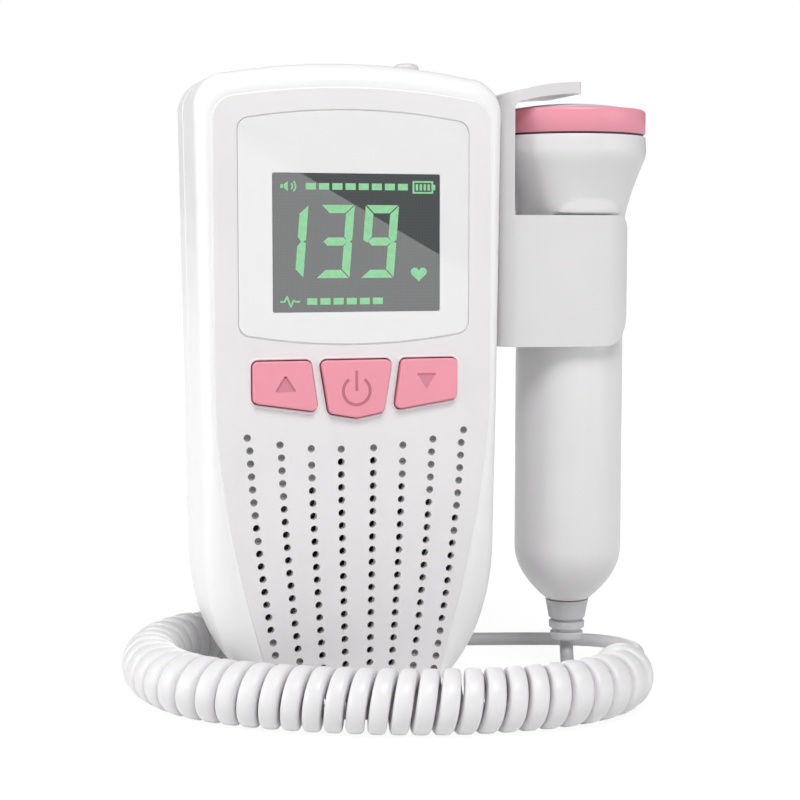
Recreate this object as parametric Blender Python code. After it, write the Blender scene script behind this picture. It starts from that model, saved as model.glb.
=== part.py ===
"""Fetal heart monitor: a pocket unit with a display, a probe in a side clip and a curly cord.

Metres, +Z up, +X towards the probe, -Y out of the display.
The origin is the middle of the flat foot that the unit stands on.
"""
import math

import bmesh
import bpy
from mathutils import Vector

# Clearances and cutters
GAP = 0.0003
HOLE_GAP = 0.0002
OVERRUN = 0.002
MERGE = 0.000001

# Heights, stacked from the foot: speaker, keys, display and shoulder
SPEAKER_FOOT = 0.015
SPEAKER_RADIUS = 0.018
KEY_MARGIN = 0.0222
LENS_MARGIN = 0.0034
LENS_HEIGHT = 0.0485
FACE_MARGIN = 0.0048
SHOULDER_HEIGHT = 0.0051
SPEAKER_CENTRE = SPEAKER_FOOT + SPEAKER_RADIUS
SPEAKER_TOP = SPEAKER_CENTRE + SPEAKER_RADIUS
KEY_TOP = SPEAKER_TOP + KEY_MARGIN
LENS_BOTTOM = KEY_TOP + LENS_MARGIN
LENS_TOP = LENS_BOTTOM + LENS_HEIGHT
FACE_TOP = LENS_TOP + FACE_MARGIN
UNIT_HEIGHT = FACE_TOP + SHOULDER_HEIGHT

# Housing
UNIT_DEPTH = 0.027
PARTING_DEPTH = 0.0154
WALL = 0.002
BODY_HALF_WIDTH = 0.0334
BODY_LOW_HALF_WIDTH = 0.0321
BODY_CORNER = 0.0075
TOP_ARCH = 0.0024
FOOT_HALF_WIDTH = 0.012
FOOT_CURVE = 0.033
SHOULDER_DEPTH = 0.004
BACK_ROUND = 0.0058
LOW_ARC_HEIGHT = 0.0056

# Face plate, the flat front of the housing
FACE_HALF_WIDTH = 0.0301
FACE_CORNER = 0.005
FACE_TAPER_DROP = 0.0072
FACE_TAPER_TOP = KEY_TOP - FACE_TAPER_DROP
FACE_TAPER = 0.0112
FACE_FOOT_CORNER = 0.003
FACE_TAPER_POWER = 1.67

# Display
LENS_HALF_WIDTH = 0.0249
LENS_ARCH = 0.0023
LENS_CORNER = 0.0026
LENS_THICKNESS = 0.001
LENS_GAP = 0.00025
WINDOW_HALF_WIDTH = 0.0195
WINDOW_HEIGHT = 0.032
SCREEN_DROP = 0.00295
SCREEN_CENTRE = (LENS_TOP + LENS_BOTTOM) / 2 - SCREEN_DROP
LCD_HALF_WIDTH = 0.021
LCD_HEIGHT = 0.034
LCD_THICKNESS = 0.0028
LCD_FRAME_WALL = 0.0012
LCD_FRAME_DEPTH = 0.0039

# Keys
KEY_PROUD = 0.0012
KEY_EDGE = 0.0005
KEY_CORNER = 0.0011
KEY_CLEARANCE = 0.0003
KEY_FLANGE = 0.0008
KEY_FLANGE_THICKNESS = 0.001
KEY_TRAVEL = 0.0008
KEY_STEM_RADIUS = 0.0015
POWER_KEY_HALF_WIDTH = 0.0078
POWER_KEY_LOW_HALF_WIDTH = 0.00595
POWER_KEY_SIDE_HEIGHT = 0.0111
POWER_KEY_HEIGHT = 0.0122
KEY_SPACING = 0.0021
KEY_LOW_SPACING = 0.0024
SIDE_KEY_OUTER = 0.0222
SIDE_KEY_OUTER_HEIGHT = 0.0086
SIDE_KEY_INNER_HEIGHT = 0.0107
SWITCH_HALF_WIDTH = 0.00225
SWITCH_THICKNESS = 0.0009
PLUNGER_RADIUS = 0.001
PLUNGER_HEIGHT = 0.0003

# Speaker grille
GRILLE_DROP = 0.0187
GRILLE_FOOT = 0.0028
GRILLE_TOP_RISE = 0.0031
GRILLE_INNER_COLUMN = 0.00355
GRILLE_COLUMN_STEP = 0.0065
GRILLE_COLUMN_GROWTH = 0.00022
GRILLE_SECOND_STEP = 0.00075
GRILLE_HOLE_RADIUS = 0.0007
GRILLE_BLIND_DEPTH = 0.0012
GRILLE_COLUMNS = 4
GRILLE_ROWS = (18, 18, 19, 20)
GRILLE_CONVERGENCE_SHARE = 0.28
GRILLE_CONVERGENCE_POWER = 1.4
GRILLE_HOLE_SIDES = 6

# Main board
BOARD_HALF_WIDTH = 0.023
BOARD_NECK_HALF_WIDTH = 0.0195
BOARD_MARGIN = 0.005
BOARD_BOTTOM = SPEAKER_TOP + BOARD_MARGIN
BOARD_SHOULDER_DROP = 0.018
BOARD_TOP_DROP = 0.008
BOARD_THICKNESS = 0.0016

# Speaker
SPEAKER_RIM = 0.0025
SPEAKER_RIM_THICKNESS = 0.0012
SPEAKER_DEPTH = 0.0042
SPEAKER_BACK_RADIUS = 0.011
SPEAKER_SHEET = 0.0008
CONE_SHEET = 0.0005
DUST_CAP_RADIUS = 0.005
MAGNET_RADIUS = 0.009
MAGNET_THICKNESS = 0.0014

# Batteries and their bay
CELL_RADIUS = 0.0071
CELL_LENGTH = 0.049
CELL_NUB_RADIUS = 0.0027
CELL_NUB = 0.0012
CELL_SPACING = 0.0008
BAY_FLOOR = 0.0175
BAY_WALL = 0.0018
BAY_HALF_WIDTH = 0.0159
BAY_PLAY = 0.0004
CONTACT_THICKNESS = 0.0004
CONTACT_HALF_WIDTH = 0.006
SPRING_HEIGHT = 0.003
SPRING_WIRE = 0.0004
SPRING_RADIUS = 0.0042
SPRING_TIP_RADIUS = 0.003
SPRING_TURNS = 3

# Battery door
DOOR_THICKNESS = 0.0018
KNUCKLE_RADIUS = 0.001
DOOR_PIN_RADIUS = 0.0006
DOOR_PIN_LENGTH = 0.0008
DOOR_GRIP_HALF_WIDTH = 0.007
DOOR_GRIP_HEIGHT = 0.0009
DOOR_GRIP_PITCH = 0.0021
DOOR_GRIP_DEPTH = 0.0006
DOOR_GRIPS = 3

# Screws and bosses
UPPER_BOSS_X = 0.0245
UPPER_BOSS_DROP = 0.0125
LOWER_BOSS_X = 0.0195
LOWER_BOSS_Z = 0.0125
BOSS_RADIUS = 0.0026
REAR_BOSS_RADIUS = 0.0034
BOSS_SETBACK = 0.0007
COUNTERBORE_DEPTH = 0.006
PILOT_DEPTH = 0.0065
SCREW_RADIUS = 0.0008
SCREW_HEAD_RADIUS = 0.0019
SCREW_HEAD_HEIGHT = 0.0014
SCREW_BITE = 0.005
POST_X = 0.02
POST_MARGIN = 0.0025
POST_Z = BOARD_BOTTOM + POST_MARGIN
POST_RADIUS = 0.0022

# Headphone socket and its soft cover
SOCKET_X = 0.0146
SOCKET_HALF_WIDTH = 0.003
SOCKET_DEPTH = 0.0057
SOCKET_HEIGHT = 0.012
SOCKET_BORE = 0.0018
SOCKET_BORE_DEPTH = 0.0095
COVER_RADIUS = 0.00265
COVER_HEIGHT = 0.0017
COVER_STEM_RADIUS = 0.00155
COVER_STEM_LENGTH = 0.008

# Probe
PROBE_Y = 0.0
HANDLE_RADIUS = 0.01205
PROBE_WALL = 0.0018
BOWL_BOTTOM = 0.0168
BOWL_TOP = 0.0292
BOWL_POWER = 2.1
BOWL_END_RADIUS = 0.00495
CLIP_BOTTOM = 0.0751
CLIP_TOP = 0.1037
FLARE_DROP = 0.0022
FLARE_HEIGHT = 0.0148
FLARE_POWER = 1.5
HEAD_RADIUS = 0.0168
HEAD_ROUND = 0.0002
HEAD_EDGE = 0.0013
HEAD_HEIGHT = 0.0049
HEAD_CLEARANCE = 0.0007
FLARE_BOTTOM = CLIP_TOP - FLARE_DROP
FLARE_TOP = FLARE_BOTTOM + FLARE_HEIGHT
SEAM_HEIGHT = FLARE_TOP + HEAD_HEIGHT
SEAM_RADIUS = HEAD_RADIUS - HEAD_ROUND
RING_HEIGHT = 0.0055
RING_WALL = 0.0014
RING_EDGE = 0.0007
DOME_RISE = 0.0015
DOME_SKIRT = 0.003
CRYSTAL_RADIUS = 0.0065
CRYSTAL_THICKNESS = 0.001
CRYSTAL_GAP = 0.0008
BACKING_THICKNESS = 0.0035
PROBE_BOARD_BOTTOM = 0.042
PROBE_BOARD_LENGTH = 0.056
PROBE_BOARD_THICKNESS = 0.0012
THUMB_HALF_WIDTH = 0.0079
THUMB_HALF_HEIGHT = 0.0058
THUMB_RISE = 0.0003
THUMB_CENTRE = FLARE_BOTTOM + THUMB_RISE
THUMB_DEPTH = 0.0006

# Strain relief under the probe
RELIEF_BOTTOM = 0.008
RELIEF_TOP_RADIUS = 0.00475
RELIEF_WAIST_RADIUS = 0.004
RELIEF_END_RADIUS = 0.00375
RELIEF_GROOVE = 0.0007
RELIEF_GROOVE_DEPTH = 0.0007
RELIEF_RING = 0.0012
RELIEF_END_HEIGHT = 0.0017
RELIEF_NECK_RADIUS = 0.0032
RELIEF_FLANGE_RADIUS = 0.0042
RELIEF_FLANGE = 0.0012

# Probe holder
HOLDER_THICKNESS = 0.0027
HOLDER_FRONT = 0.0116
HOLDER_BACK = 0.0096
CLIP_WALL = 0.002
CLIP_PLAY = 0.00035
CLIP_REACH_DEGREES = 39
CLIP_ROOT_DEGREES = 24
CLIP_LOW_CORNER = 0.007
CLIP_HIGH_CORNER = 0.0033
WEB_HALF_DEPTH = 0.005
TONGUE_REACH = 0.0183
TONGUE_MARGIN = 0.0026
TONGUE_ROOT = SEAM_HEIGHT + RING_HEIGHT + TONGUE_MARGIN
TONGUE_RISE = 0.0032
TONGUE_THICKNESS = 0.0025
TONGUE_CORNER = 0.0025
HOLDER_SCREW_DEPTH = -0.004
HOLDER_SCREW_SPREAD = 0.001
HOLDER_SCREW_LENGTH = 0.0092

# Cord gland at the back of the unit
GLAND_X = 0.004
GLAND_Z = 0.01
GLAND_RADIUS = 0.0034
GLAND_TIP_RADIUS = 0.0025
GLAND_LENGTH = 0.0042
GLAND_NECK_RADIUS = 0.0024
GLAND_FLANGE_RADIUS = 0.0035
GLAND_FLANGE = 0.0012

# Cord
CORD_DIAMETER = 0.0031
CURL_RADIUS = 0.00505
CURL_PITCH = 0.0043
CURL_LEAST_GAP = 0.00062
CURL_POINTS = 8
CURL_FADE = 0.011
CURL_END_PITCH = 0.0078
CORD_LIFT = 0.0001
CORD_STRAIGHT = 0.0005
LEAD_APPROACH_DEGREES = 17
CORD_STEP_DIAMETERS = 1.4

# Resolution of round shapes
ARC_STEPS = 6
CORNER_STEPS = 4
SHOULDER_STEPS = 4
ROUND_STEPS = 16
PROBE_STEPS = 28
SMOOTH_DEGREES = 35
SIDE_SHARES = (0.25, 0.45, 0.56, 0.65, 0.73, 0.8, 0.87, 0.93, 1.0)

FRONT_Y = -UNIT_DEPTH / 2
BACK_Y = UNIT_DEPTH / 2
PARTING_Y = FRONT_Y + PARTING_DEPTH
FRONT_INNER_Y = FRONT_Y + WALL
BACK_INNER_Y = BACK_Y - WALL
BOARD_FRONT_Y = FRONT_INNER_Y + GAP + LCD_FRAME_DEPTH + GAP
BOARD_BACK_Y = BOARD_FRONT_Y + BOARD_THICKNESS
PROBE_X = BODY_HALF_WIDTH + GAP + HOLDER_THICKNESS + HEAD_CLEARANCE + HEAD_RADIUS


def clear_scene():
    for thing in list(bpy.data.objects):
        bpy.data.objects.remove(thing, do_unlink=True)


def material(name, colour, roughness, metallic=0):
    made = bpy.data.materials.new(name)
    made.use_nodes = True
    shader = made.node_tree.nodes["Principled BSDF"]
    shader.inputs["Base Color"].default_value = (*colour, 1)
    shader.inputs["Roughness"].default_value = roughness
    shader.inputs["Metallic"].default_value = metallic
    return made


def link(name, data):
    made = bpy.data.objects.new(name, data)
    bpy.context.scene.collection.objects.link(made)
    return made


def mesh_of(name, bm):
    bmesh.ops.recalc_face_normals(bm, faces=bm.faces)
    mesh = bpy.data.meshes.new(name)
    bm.to_mesh(mesh)
    bm.free()
    return mesh


def piece(name, bm, finish):
    """A visible piece from a closed mesh, shaded smooth but for its hard edges."""
    mesh = mesh_of(name, bm)
    mesh.materials.append(finish)
    mesh.shade_smooth()
    mesh.set_sharp_from_angle(angle=math.radians(SMOOTH_DEGREES))
    return link(name, mesh)


def tool(name, bm):
    """A cutter or an addition, left out of the render."""
    made = link(name, mesh_of(name, bm))
    made.hide_render = True
    made.display_type = "WIRE"
    return made


def combine(target, other, operation):
    step = target.modifiers.new(other.name, "BOOLEAN")
    step.operation = operation
    step.solver = "EXACT"
    step.object = other


def set_origin(made, place):
    """Moves an object's origin to its joint's axis and leaves its mesh where it is."""
    shift = Vector(place)
    for vertex in made.data.vertices:
        vertex.co -= shift
    made.location = shift


def add_rings(bm, rings):
    """Closed skin over rings of equally many points, with a flat cap at each end."""
    loops = [[bm.verts.new(point) for point in ring] for ring in rings]
    count = len(loops[0])
    for one, other in zip(loops, loops[1:]):
        for k in range(count):
            following = (k + 1) % count
            bm.faces.new((one[k], one[following], other[following], other[k]))
    bm.faces.new(loops[0])
    bm.faces.new(loops[-1])


def add_prism(bm, outline, low, high, axis="Y"):
    """Outline extruded from low to high along an axis; the outline's pairs keep X, Y, Z order."""
    place = {
        "X": lambda a, b, level: (level, a, b),
        "Y": lambda a, b, level: (a, level, b),
        "Z": lambda a, b, level: (a, b, level),
    }[axis]
    add_rings(bm, [[place(a, b, level) for a, b in outline] for level in (low, high)])


def circle(centre, radius, sides):
    turn = 2 * math.pi / sides
    return [
        (centre[0] + radius * math.cos(turn * (k + 0.5)), centre[1] + radius * math.sin(turn * (k + 0.5)))
        for k in range(sides)
    ]


def rectangle(low_a, high_a, low_b, high_b):
    return [(low_a, low_b), (high_a, low_b), (high_a, high_b), (low_a, high_b)]


def add_cylinder(bm, axis, centre, radius, low, high, sides=ROUND_STEPS):
    add_prism(bm, circle(centre, radius, sides), low, high, axis)


def add_turned(bm, profile, axis, centre, closed=False, steps=ROUND_STEPS):
    """Profile of (radius, height) points turned round an axis through centre."""
    ways = {
        "X": (Vector((0, 1, 0)), Vector((1, 0, 0))),
        "Y": (Vector((1, 0, 0)), Vector((0, 1, 0))),
        "Z": (Vector((1, 0, 0)), Vector((0, 0, 1))),
    }
    out, along = ways[axis]
    points = [bm.verts.new(Vector(centre) + out * radius + along * height) for radius, height in profile]
    pairs = list(zip(points, points[1:]))
    if closed:
        pairs.append((points[-1], points[0]))
    edges = [bm.edges.new(pair) for pair in pairs]
    bmesh.ops.spin(
        bm, geom=points + edges, cent=centre, axis=along, angle=2 * math.pi, steps=steps, use_merge=True
    )
    bmesh.ops.remove_doubles(bm, verts=bm.verts, dist=MERGE)


def turned(name, profile, axis, centre, finish, closed=False, steps=ROUND_STEPS):
    bm = bmesh.new()
    add_turned(bm, profile, axis, centre, closed, steps)
    return piece(name, bm, finish)


def prism(name, outline, low, high, finish, axis="Y"):
    bm = bmesh.new()
    add_prism(bm, outline, low, high, axis)
    return piece(name, bm, finish)


def arc(centre, radius, start, end, steps):
    """Points of an arc between two angles in degrees, both ends included."""
    angles = [math.radians(start + (end - start) * k / steps) for k in range(steps + 1)]
    return [(centre[0] + radius * math.cos(a), centre[1] + radius * math.sin(a)) for a in angles]


def offset(outline, distance):
    """Convex clockwise outline moved inwards by a distance, or outwards by a negative one."""
    moved = []
    count = len(outline)
    for k, (x, z) in enumerate(outline):
        before = Vector((x - outline[k - 1][0], z - outline[k - 1][1])).normalized()
        after = Vector((outline[(k + 1) % count][0] - x, outline[(k + 1) % count][1] - z)).normalized()
        normal = Vector((before.y + after.y, -before.x - after.x)).normalized()
        reach = distance / max(normal.dot(Vector((before.y, -before.x))), 0.5)
        moved.append((x + normal.x * -reach * TURN, z + normal.y * -reach * TURN))
    return moved


TURN = -1


def rounded(corners, radius, steps=CORNER_STEPS):
    """Convex clockwise polygon with its corners rounded."""
    points = []
    count = len(corners)
    for k, corner in enumerate(corners):
        here = Vector(corner)
        back = (Vector(corners[k - 1]) - here).normalized()
        ahead = (Vector(corners[(k + 1) % count]) - here).normalized()
        half = back.angle(ahead) / 2
        middle = here + (back + ahead).normalized() * radius / math.sin(half)
        sweep = math.pi - 2 * half
        first = here + back * radius / math.tan(half) - middle
        for step in range(steps + 1):
            turn = -sweep * step / steps
            points.append(
                (
                    middle.x + first.x * math.cos(turn) - first.y * math.sin(turn),
                    middle.y + first.x * math.sin(turn) + first.y * math.cos(turn),
                )
            )
    return points


def at_depth(outline, y):
    return [(x, y, z) for x, z in outline]


# Outlines of the housing


def body_half_width(z):
    """Half width of the body at a height: a straight taper over a quarter of an ellipse."""
    if z >= FOOT_CURVE:
        share = (z - FOOT_CURVE) / (UNIT_HEIGHT - BODY_CORNER - FOOT_CURVE)
        return BODY_LOW_HALF_WIDTH + (BODY_HALF_WIDTH - BODY_LOW_HALF_WIDTH) * min(share, 1)
    drop = (FOOT_CURVE - z) / FOOT_CURVE
    return FOOT_HALF_WIDTH + (BODY_LOW_HALF_WIDTH - FOOT_HALF_WIDTH) * math.sqrt(1 - drop * drop)


def face_half_width(z):
    """Half width of the face plate at a height: straight, then drawn in towards the foot."""
    if z >= FACE_TAPER_TOP:
        return FACE_HALF_WIDTH
    share = (FACE_TAPER_TOP - z) / (FACE_TAPER_TOP - LOW_ARC_HEIGHT)
    return FACE_HALF_WIDTH - FACE_TAPER * share**FACE_TAPER_POWER


def arched_half(top, half_width, corner):
    """Right half of an arched top, from its middle to the lower end of its corner."""
    flat = half_width - corner
    points = []
    for k in range(ARC_STEPS + 1):
        x = flat * k / ARC_STEPS
        points.append((x, top - TOP_ARCH * (x / half_width) ** 2))
    centre = (flat, points[-1][1] - corner)
    return points + arc(centre, corner, 90, 0, CORNER_STEPS)[1:]


def mirrored(half):
    """Closed clockwise outline from its right half, whose first and last points lie at X = 0."""
    return half + [(-x, z) for x, z in reversed(half[1:-1])]


def body_outline():
    half = arched_half(UNIT_HEIGHT, BODY_HALF_WIDTH, BODY_CORNER)
    top = half[-1][1]
    for share in SIDE_SHARES:
        z = top + (LOW_ARC_HEIGHT - top) * share
        half.append((body_half_width(z), z))
    start = math.acos(1 - LOW_ARC_HEIGHT / FOOT_CURVE)
    for k in range(1, CORNER_STEPS + 1):
        angle = start * (1 - k / CORNER_STEPS)
        z = FOOT_CURVE * (1 - math.cos(angle))
        half.append((body_half_width(z), z))
    return mirrored(half + [(0, 0)])


def face_outline():
    half = arched_half(FACE_TOP, FACE_HALF_WIDTH, FACE_CORNER)
    top = half[-1][1]
    for share in SIDE_SHARES:
        z = top + (LOW_ARC_HEIGHT - top) * share
        half.append((face_half_width(z), z))
    low = half[-1][0] - FACE_FOOT_CORNER
    half += arc((low, LOW_ARC_HEIGHT), FACE_FOOT_CORNER, 0, -90, CORNER_STEPS)[1:]
    return mirrored(half + [(0, LOW_ARC_HEIGHT - FACE_FOOT_CORNER)])


def blended(one, other, share):
    return [(a[0] + (b[0] - a[0]) * share, a[1] + (b[1] - a[1]) * share) for a, b in zip(one, other)]


def boss_places():
    return [
        (side * x, z)
        for x, z in ((UPPER_BOSS_X, UNIT_HEIGHT - UPPER_BOSS_DROP), (LOWER_BOSS_X, LOWER_BOSS_Z))
        for side in (-1, 1)
    ]


# Keys


def key_outlines():
    """The three keys' outlines, clockwise seen from the front."""
    inner = POWER_KEY_HALF_WIDTH + KEY_SPACING
    low_inner = POWER_KEY_LOW_HALF_WIDTH + KEY_LOW_SPACING
    side = [
        (inner, KEY_TOP),
        (SIDE_KEY_OUTER, KEY_TOP),
        (SIDE_KEY_OUTER, KEY_TOP - SIDE_KEY_OUTER_HEIGHT),
        (low_inner, KEY_TOP - SIDE_KEY_INNER_HEIGHT),
    ]
    power = [
        (-POWER_KEY_HALF_WIDTH, KEY_TOP),
        (POWER_KEY_HALF_WIDTH, KEY_TOP),
        (POWER_KEY_LOW_HALF_WIDTH, KEY_TOP - POWER_KEY_SIDE_HEIGHT),
        (0, KEY_TOP - POWER_KEY_HEIGHT),
        (-POWER_KEY_LOW_HALF_WIDTH, KEY_TOP - POWER_KEY_SIDE_HEIGHT),
    ]
    other = [(-x, z) for x, z in reversed(side)]
    return {
        "button_up": rounded(other, KEY_CORNER),
        "button_power": rounded(power, KEY_CORNER),
        "button_down": rounded(side, KEY_CORNER),
    }


def middle_of(outline):
    low = [min(point[k] for point in outline) for k in (0, 1)]
    high = [max(point[k] for point in outline) for k in (0, 1)]
    return ((low[0] + high[0]) / 2, (low[1] + high[1]) / 2)


def key(name, outline, finish):
    """Key cap with a soft edge, a flange behind the face and a stem over its switch."""
    front = FRONT_Y - KEY_PROUD
    flange = FRONT_INNER_Y + GAP
    wide = offset(outline, -KEY_FLANGE)
    back = flange + KEY_FLANGE_THICKNESS
    rings = []
    for k in range(CORNER_STEPS):
        angle = math.pi / 2 * k / (CORNER_STEPS - 1)
        rings.append(
            at_depth(offset(outline, KEY_EDGE * (1 - math.sin(angle))), front + KEY_EDGE * (1 - math.cos(angle)))
        )
    rings += [at_depth(outline, flange), at_depth(wide, flange), at_depth(wide, back)]
    bm = bmesh.new()
    add_rings(bm, rings)
    made = piece(name, bm, finish)
    stem = bmesh.new()
    add_cylinder(stem, "Y", middle_of(outline), KEY_STEM_RADIUS, back - GAP, key_stem_end())
    combine(made, tool(name + "_stem", stem), "UNION")
    return made


def key_stem_end():
    return switch_top() - GAP - KEY_TRAVEL


def switch_top():
    return BOARD_FRONT_Y - GAP - SWITCH_THICKNESS - PLUNGER_HEIGHT


def key_switch(name, centre, finish):
    x, z = centre
    top = BOARD_FRONT_Y - GAP - SWITCH_THICKNESS
    bm = bmesh.new()
    half = SWITCH_HALF_WIDTH
    add_prism(bm, rectangle(x - half, x + half, z - half, z + half), top, BOARD_FRONT_Y - GAP)
    made = piece(name, bm, finish)
    plunger = bmesh.new()
    add_cylinder(plunger, "Y", centre, PLUNGER_RADIUS, switch_top(), top + GAP)
    combine(made, tool(name + "_plunger", plunger), "UNION")
    return made


# Grille


def grille_holes():
    """Fanned columns of holes: (place, blind). The fan draws in towards the foot.

    The first holes of each column are blind, and so are the last ones of the outer columns.
    """
    holes = []
    start = KEY_TOP - GRILLE_DROP
    length = start - GRILLE_FOOT
    pitch = length / (max(GRILLE_ROWS) - 1)
    for column in range(GRILLE_COLUMNS):
        top_x = GRILLE_INNER_COLUMN + column * (GRILLE_COLUMN_STEP + GRILLE_COLUMN_GROWTH * (column - 1) / 2)
        rise = GRILLE_TOP_RISE * (column / (GRILLE_COLUMNS - 1)) ** 2
        rows = GRILLE_ROWS[column]
        for row in range(rows):
            down = pitch * row
            if column == 1 and row:
                down += GRILLE_SECOND_STEP
            drawn = GRILLE_CONVERGENCE_SHARE * (down / length) ** GRILLE_CONVERGENCE_POWER
            blind = row < 1 + 2 * column or row >= rows - 2 * max(column - 1, 0)
            for side in (-1, 1):
                holes.append(((side * top_x * (1 - drawn), start + rise - down), blind))
    return holes


# Housing pieces


def screw_axis_x(z):
    """Inner face of the housing's side wall at a height."""
    return body_half_width(z) - WALL


def holder_screw_heights():
    """Near a quarter of the clip's height from its ends, so that both stay inside it."""
    middle = (CLIP_BOTTOM + CLIP_TOP) / 2
    away = (CLIP_TOP - CLIP_BOTTOM + HOLDER_SCREW_SPREAD) / 4
    return [middle - away, middle + away]


def lens_outline():
    flat = LENS_HALF_WIDTH - LENS_CORNER
    half = []
    for k in range(ARC_STEPS + 1):
        x = flat * k / ARC_STEPS
        half.append((x, LENS_TOP - LENS_ARCH * (x / LENS_HALF_WIDTH) ** 2))
    half += arc((flat, half[-1][1] - LENS_CORNER), LENS_CORNER, 90, 0, CORNER_STEPS)[1:]
    low = []
    for k in range(ARC_STEPS + 1):
        x = flat * k / ARC_STEPS
        low.append((x, LENS_BOTTOM + LENS_ARCH * (x / LENS_HALF_WIDTH) ** 2))
    half += arc((flat, low[-1][1] + LENS_CORNER), LENS_CORNER, 0, -90, CORNER_STEPS)[:-1]
    return mirrored(half + low[::-1])


def front_housing(finish):
    body = body_outline()
    face = face_outline()
    outer = []
    for k in range(SHOULDER_STEPS + 1):
        angle = math.pi / 2 * k / SHOULDER_STEPS
        ring = blended(body, face, 1 - math.sin(angle))
        outer.append(at_depth(ring, FRONT_Y + SHOULDER_DEPTH * (1 - math.cos(angle))))
    outer.append(at_depth(body, PARTING_Y))
    inner_body = offset(body, WALL)
    inner = [
        at_depth(inner_body, PARTING_Y),
        at_depth(inner_body, FRONT_Y + SHOULDER_DEPTH + WALL / 2),
        at_depth(offset(blended(body, face, 0.6), WALL), FRONT_INNER_Y),
    ]
    bm = bmesh.new()
    add_rings(bm, outer + inner)
    made = piece("front_housing", bm, finish)

    posts = bmesh.new()
    for place in boss_places():
        add_cylinder(posts, "Y", place, BOSS_RADIUS, FRONT_INNER_Y - WALL / 2, PARTING_Y - BOSS_SETBACK)
    for side in (-1, 1):
        add_cylinder(
            posts, "Y", (side * POST_X, POST_Z), POST_RADIUS, FRONT_INNER_Y - WALL / 2, BOARD_FRONT_Y - GAP
        )
    combine(made, tool("front_bosses", posts), "UNION")

    recess = bmesh.new()
    recess_floor = FRONT_Y + LENS_THICKNESS + GAP
    add_prism(recess, offset(lens_outline(), -LENS_GAP), FRONT_Y - OVERRUN, recess_floor)
    combine(made, tool("lens_recess", recess), "DIFFERENCE")

    holes = bmesh.new()
    screen = rectangle(
        -WINDOW_HALF_WIDTH, WINDOW_HALF_WIDTH, SCREEN_CENTRE - WINDOW_HEIGHT / 2, SCREEN_CENTRE + WINDOW_HEIGHT / 2
    )
    add_prism(holes, screen, FRONT_Y - OVERRUN, FRONT_INNER_Y + GAP)
    for outline in key_outlines().values():
        add_prism(holes, offset(outline, -KEY_CLEARANCE), FRONT_Y - OVERRUN, FRONT_INNER_Y + GAP)
    for place, blind in grille_holes():
        depth = FRONT_Y + GRILLE_BLIND_DEPTH if blind else FRONT_INNER_Y + GAP
        add_cylinder(holes, "Y", place, GRILLE_HOLE_RADIUS, FRONT_Y - OVERRUN, depth, GRILLE_HOLE_SIDES)
    for place in boss_places():
        end = PARTING_Y - BOSS_SETBACK
        add_cylinder(holes, "Y", place, SCREW_RADIUS + HOLE_GAP, end - PILOT_DEPTH, end + OVERRUN, ARC_STEPS * 2)
    for side in (-1, 1):
        end = BOARD_FRONT_Y - GAP
        add_cylinder(
            holes, "Y", (side * POST_X, POST_Z), SCREW_RADIUS + HOLE_GAP, FRONT_INNER_Y, end + OVERRUN,
            ARC_STEPS * 2,
        )
    for z in holder_screw_heights():
        wall = screw_axis_x(z)
        add_cylinder(
            holes, "X", (HOLDER_SCREW_DEPTH, z), SCREW_RADIUS + HOLE_GAP, wall - OVERRUN, wall + WALL + OVERRUN,
            ARC_STEPS * 2,
        )
    add_cylinder(
        holes, "Z", (SOCKET_X, socket_y()), COVER_STEM_RADIUS + HOLE_GAP, UNIT_HEIGHT - TOP_ARCH - WALL - OVERRUN,
        UNIT_HEIGHT + OVERRUN,
    )
    combine(made, tool("front_holes", holes), "DIFFERENCE")
    return made


def bay_top():
    """Inner top of the battery bay: floor, plate, spring, cell and plate, with a gap at each."""
    stack = CONTACT_THICKNESS + SPRING_HEIGHT + CELL_LENGTH + CELL_NUB + CONTACT_THICKNESS
    return BAY_FLOOR + stack + 5 * GAP


def bay_front():
    return cell_y() - CELL_RADIUS - BAY_PLAY


def cell_y():
    return BACK_Y - DOOR_THICKNESS - BAY_PLAY - CELL_RADIUS


def door_pivot():
    return (BACK_Y - KNUCKLE_RADIUS, BAY_FLOOR + GAP + KNUCKLE_RADIUS)


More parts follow.
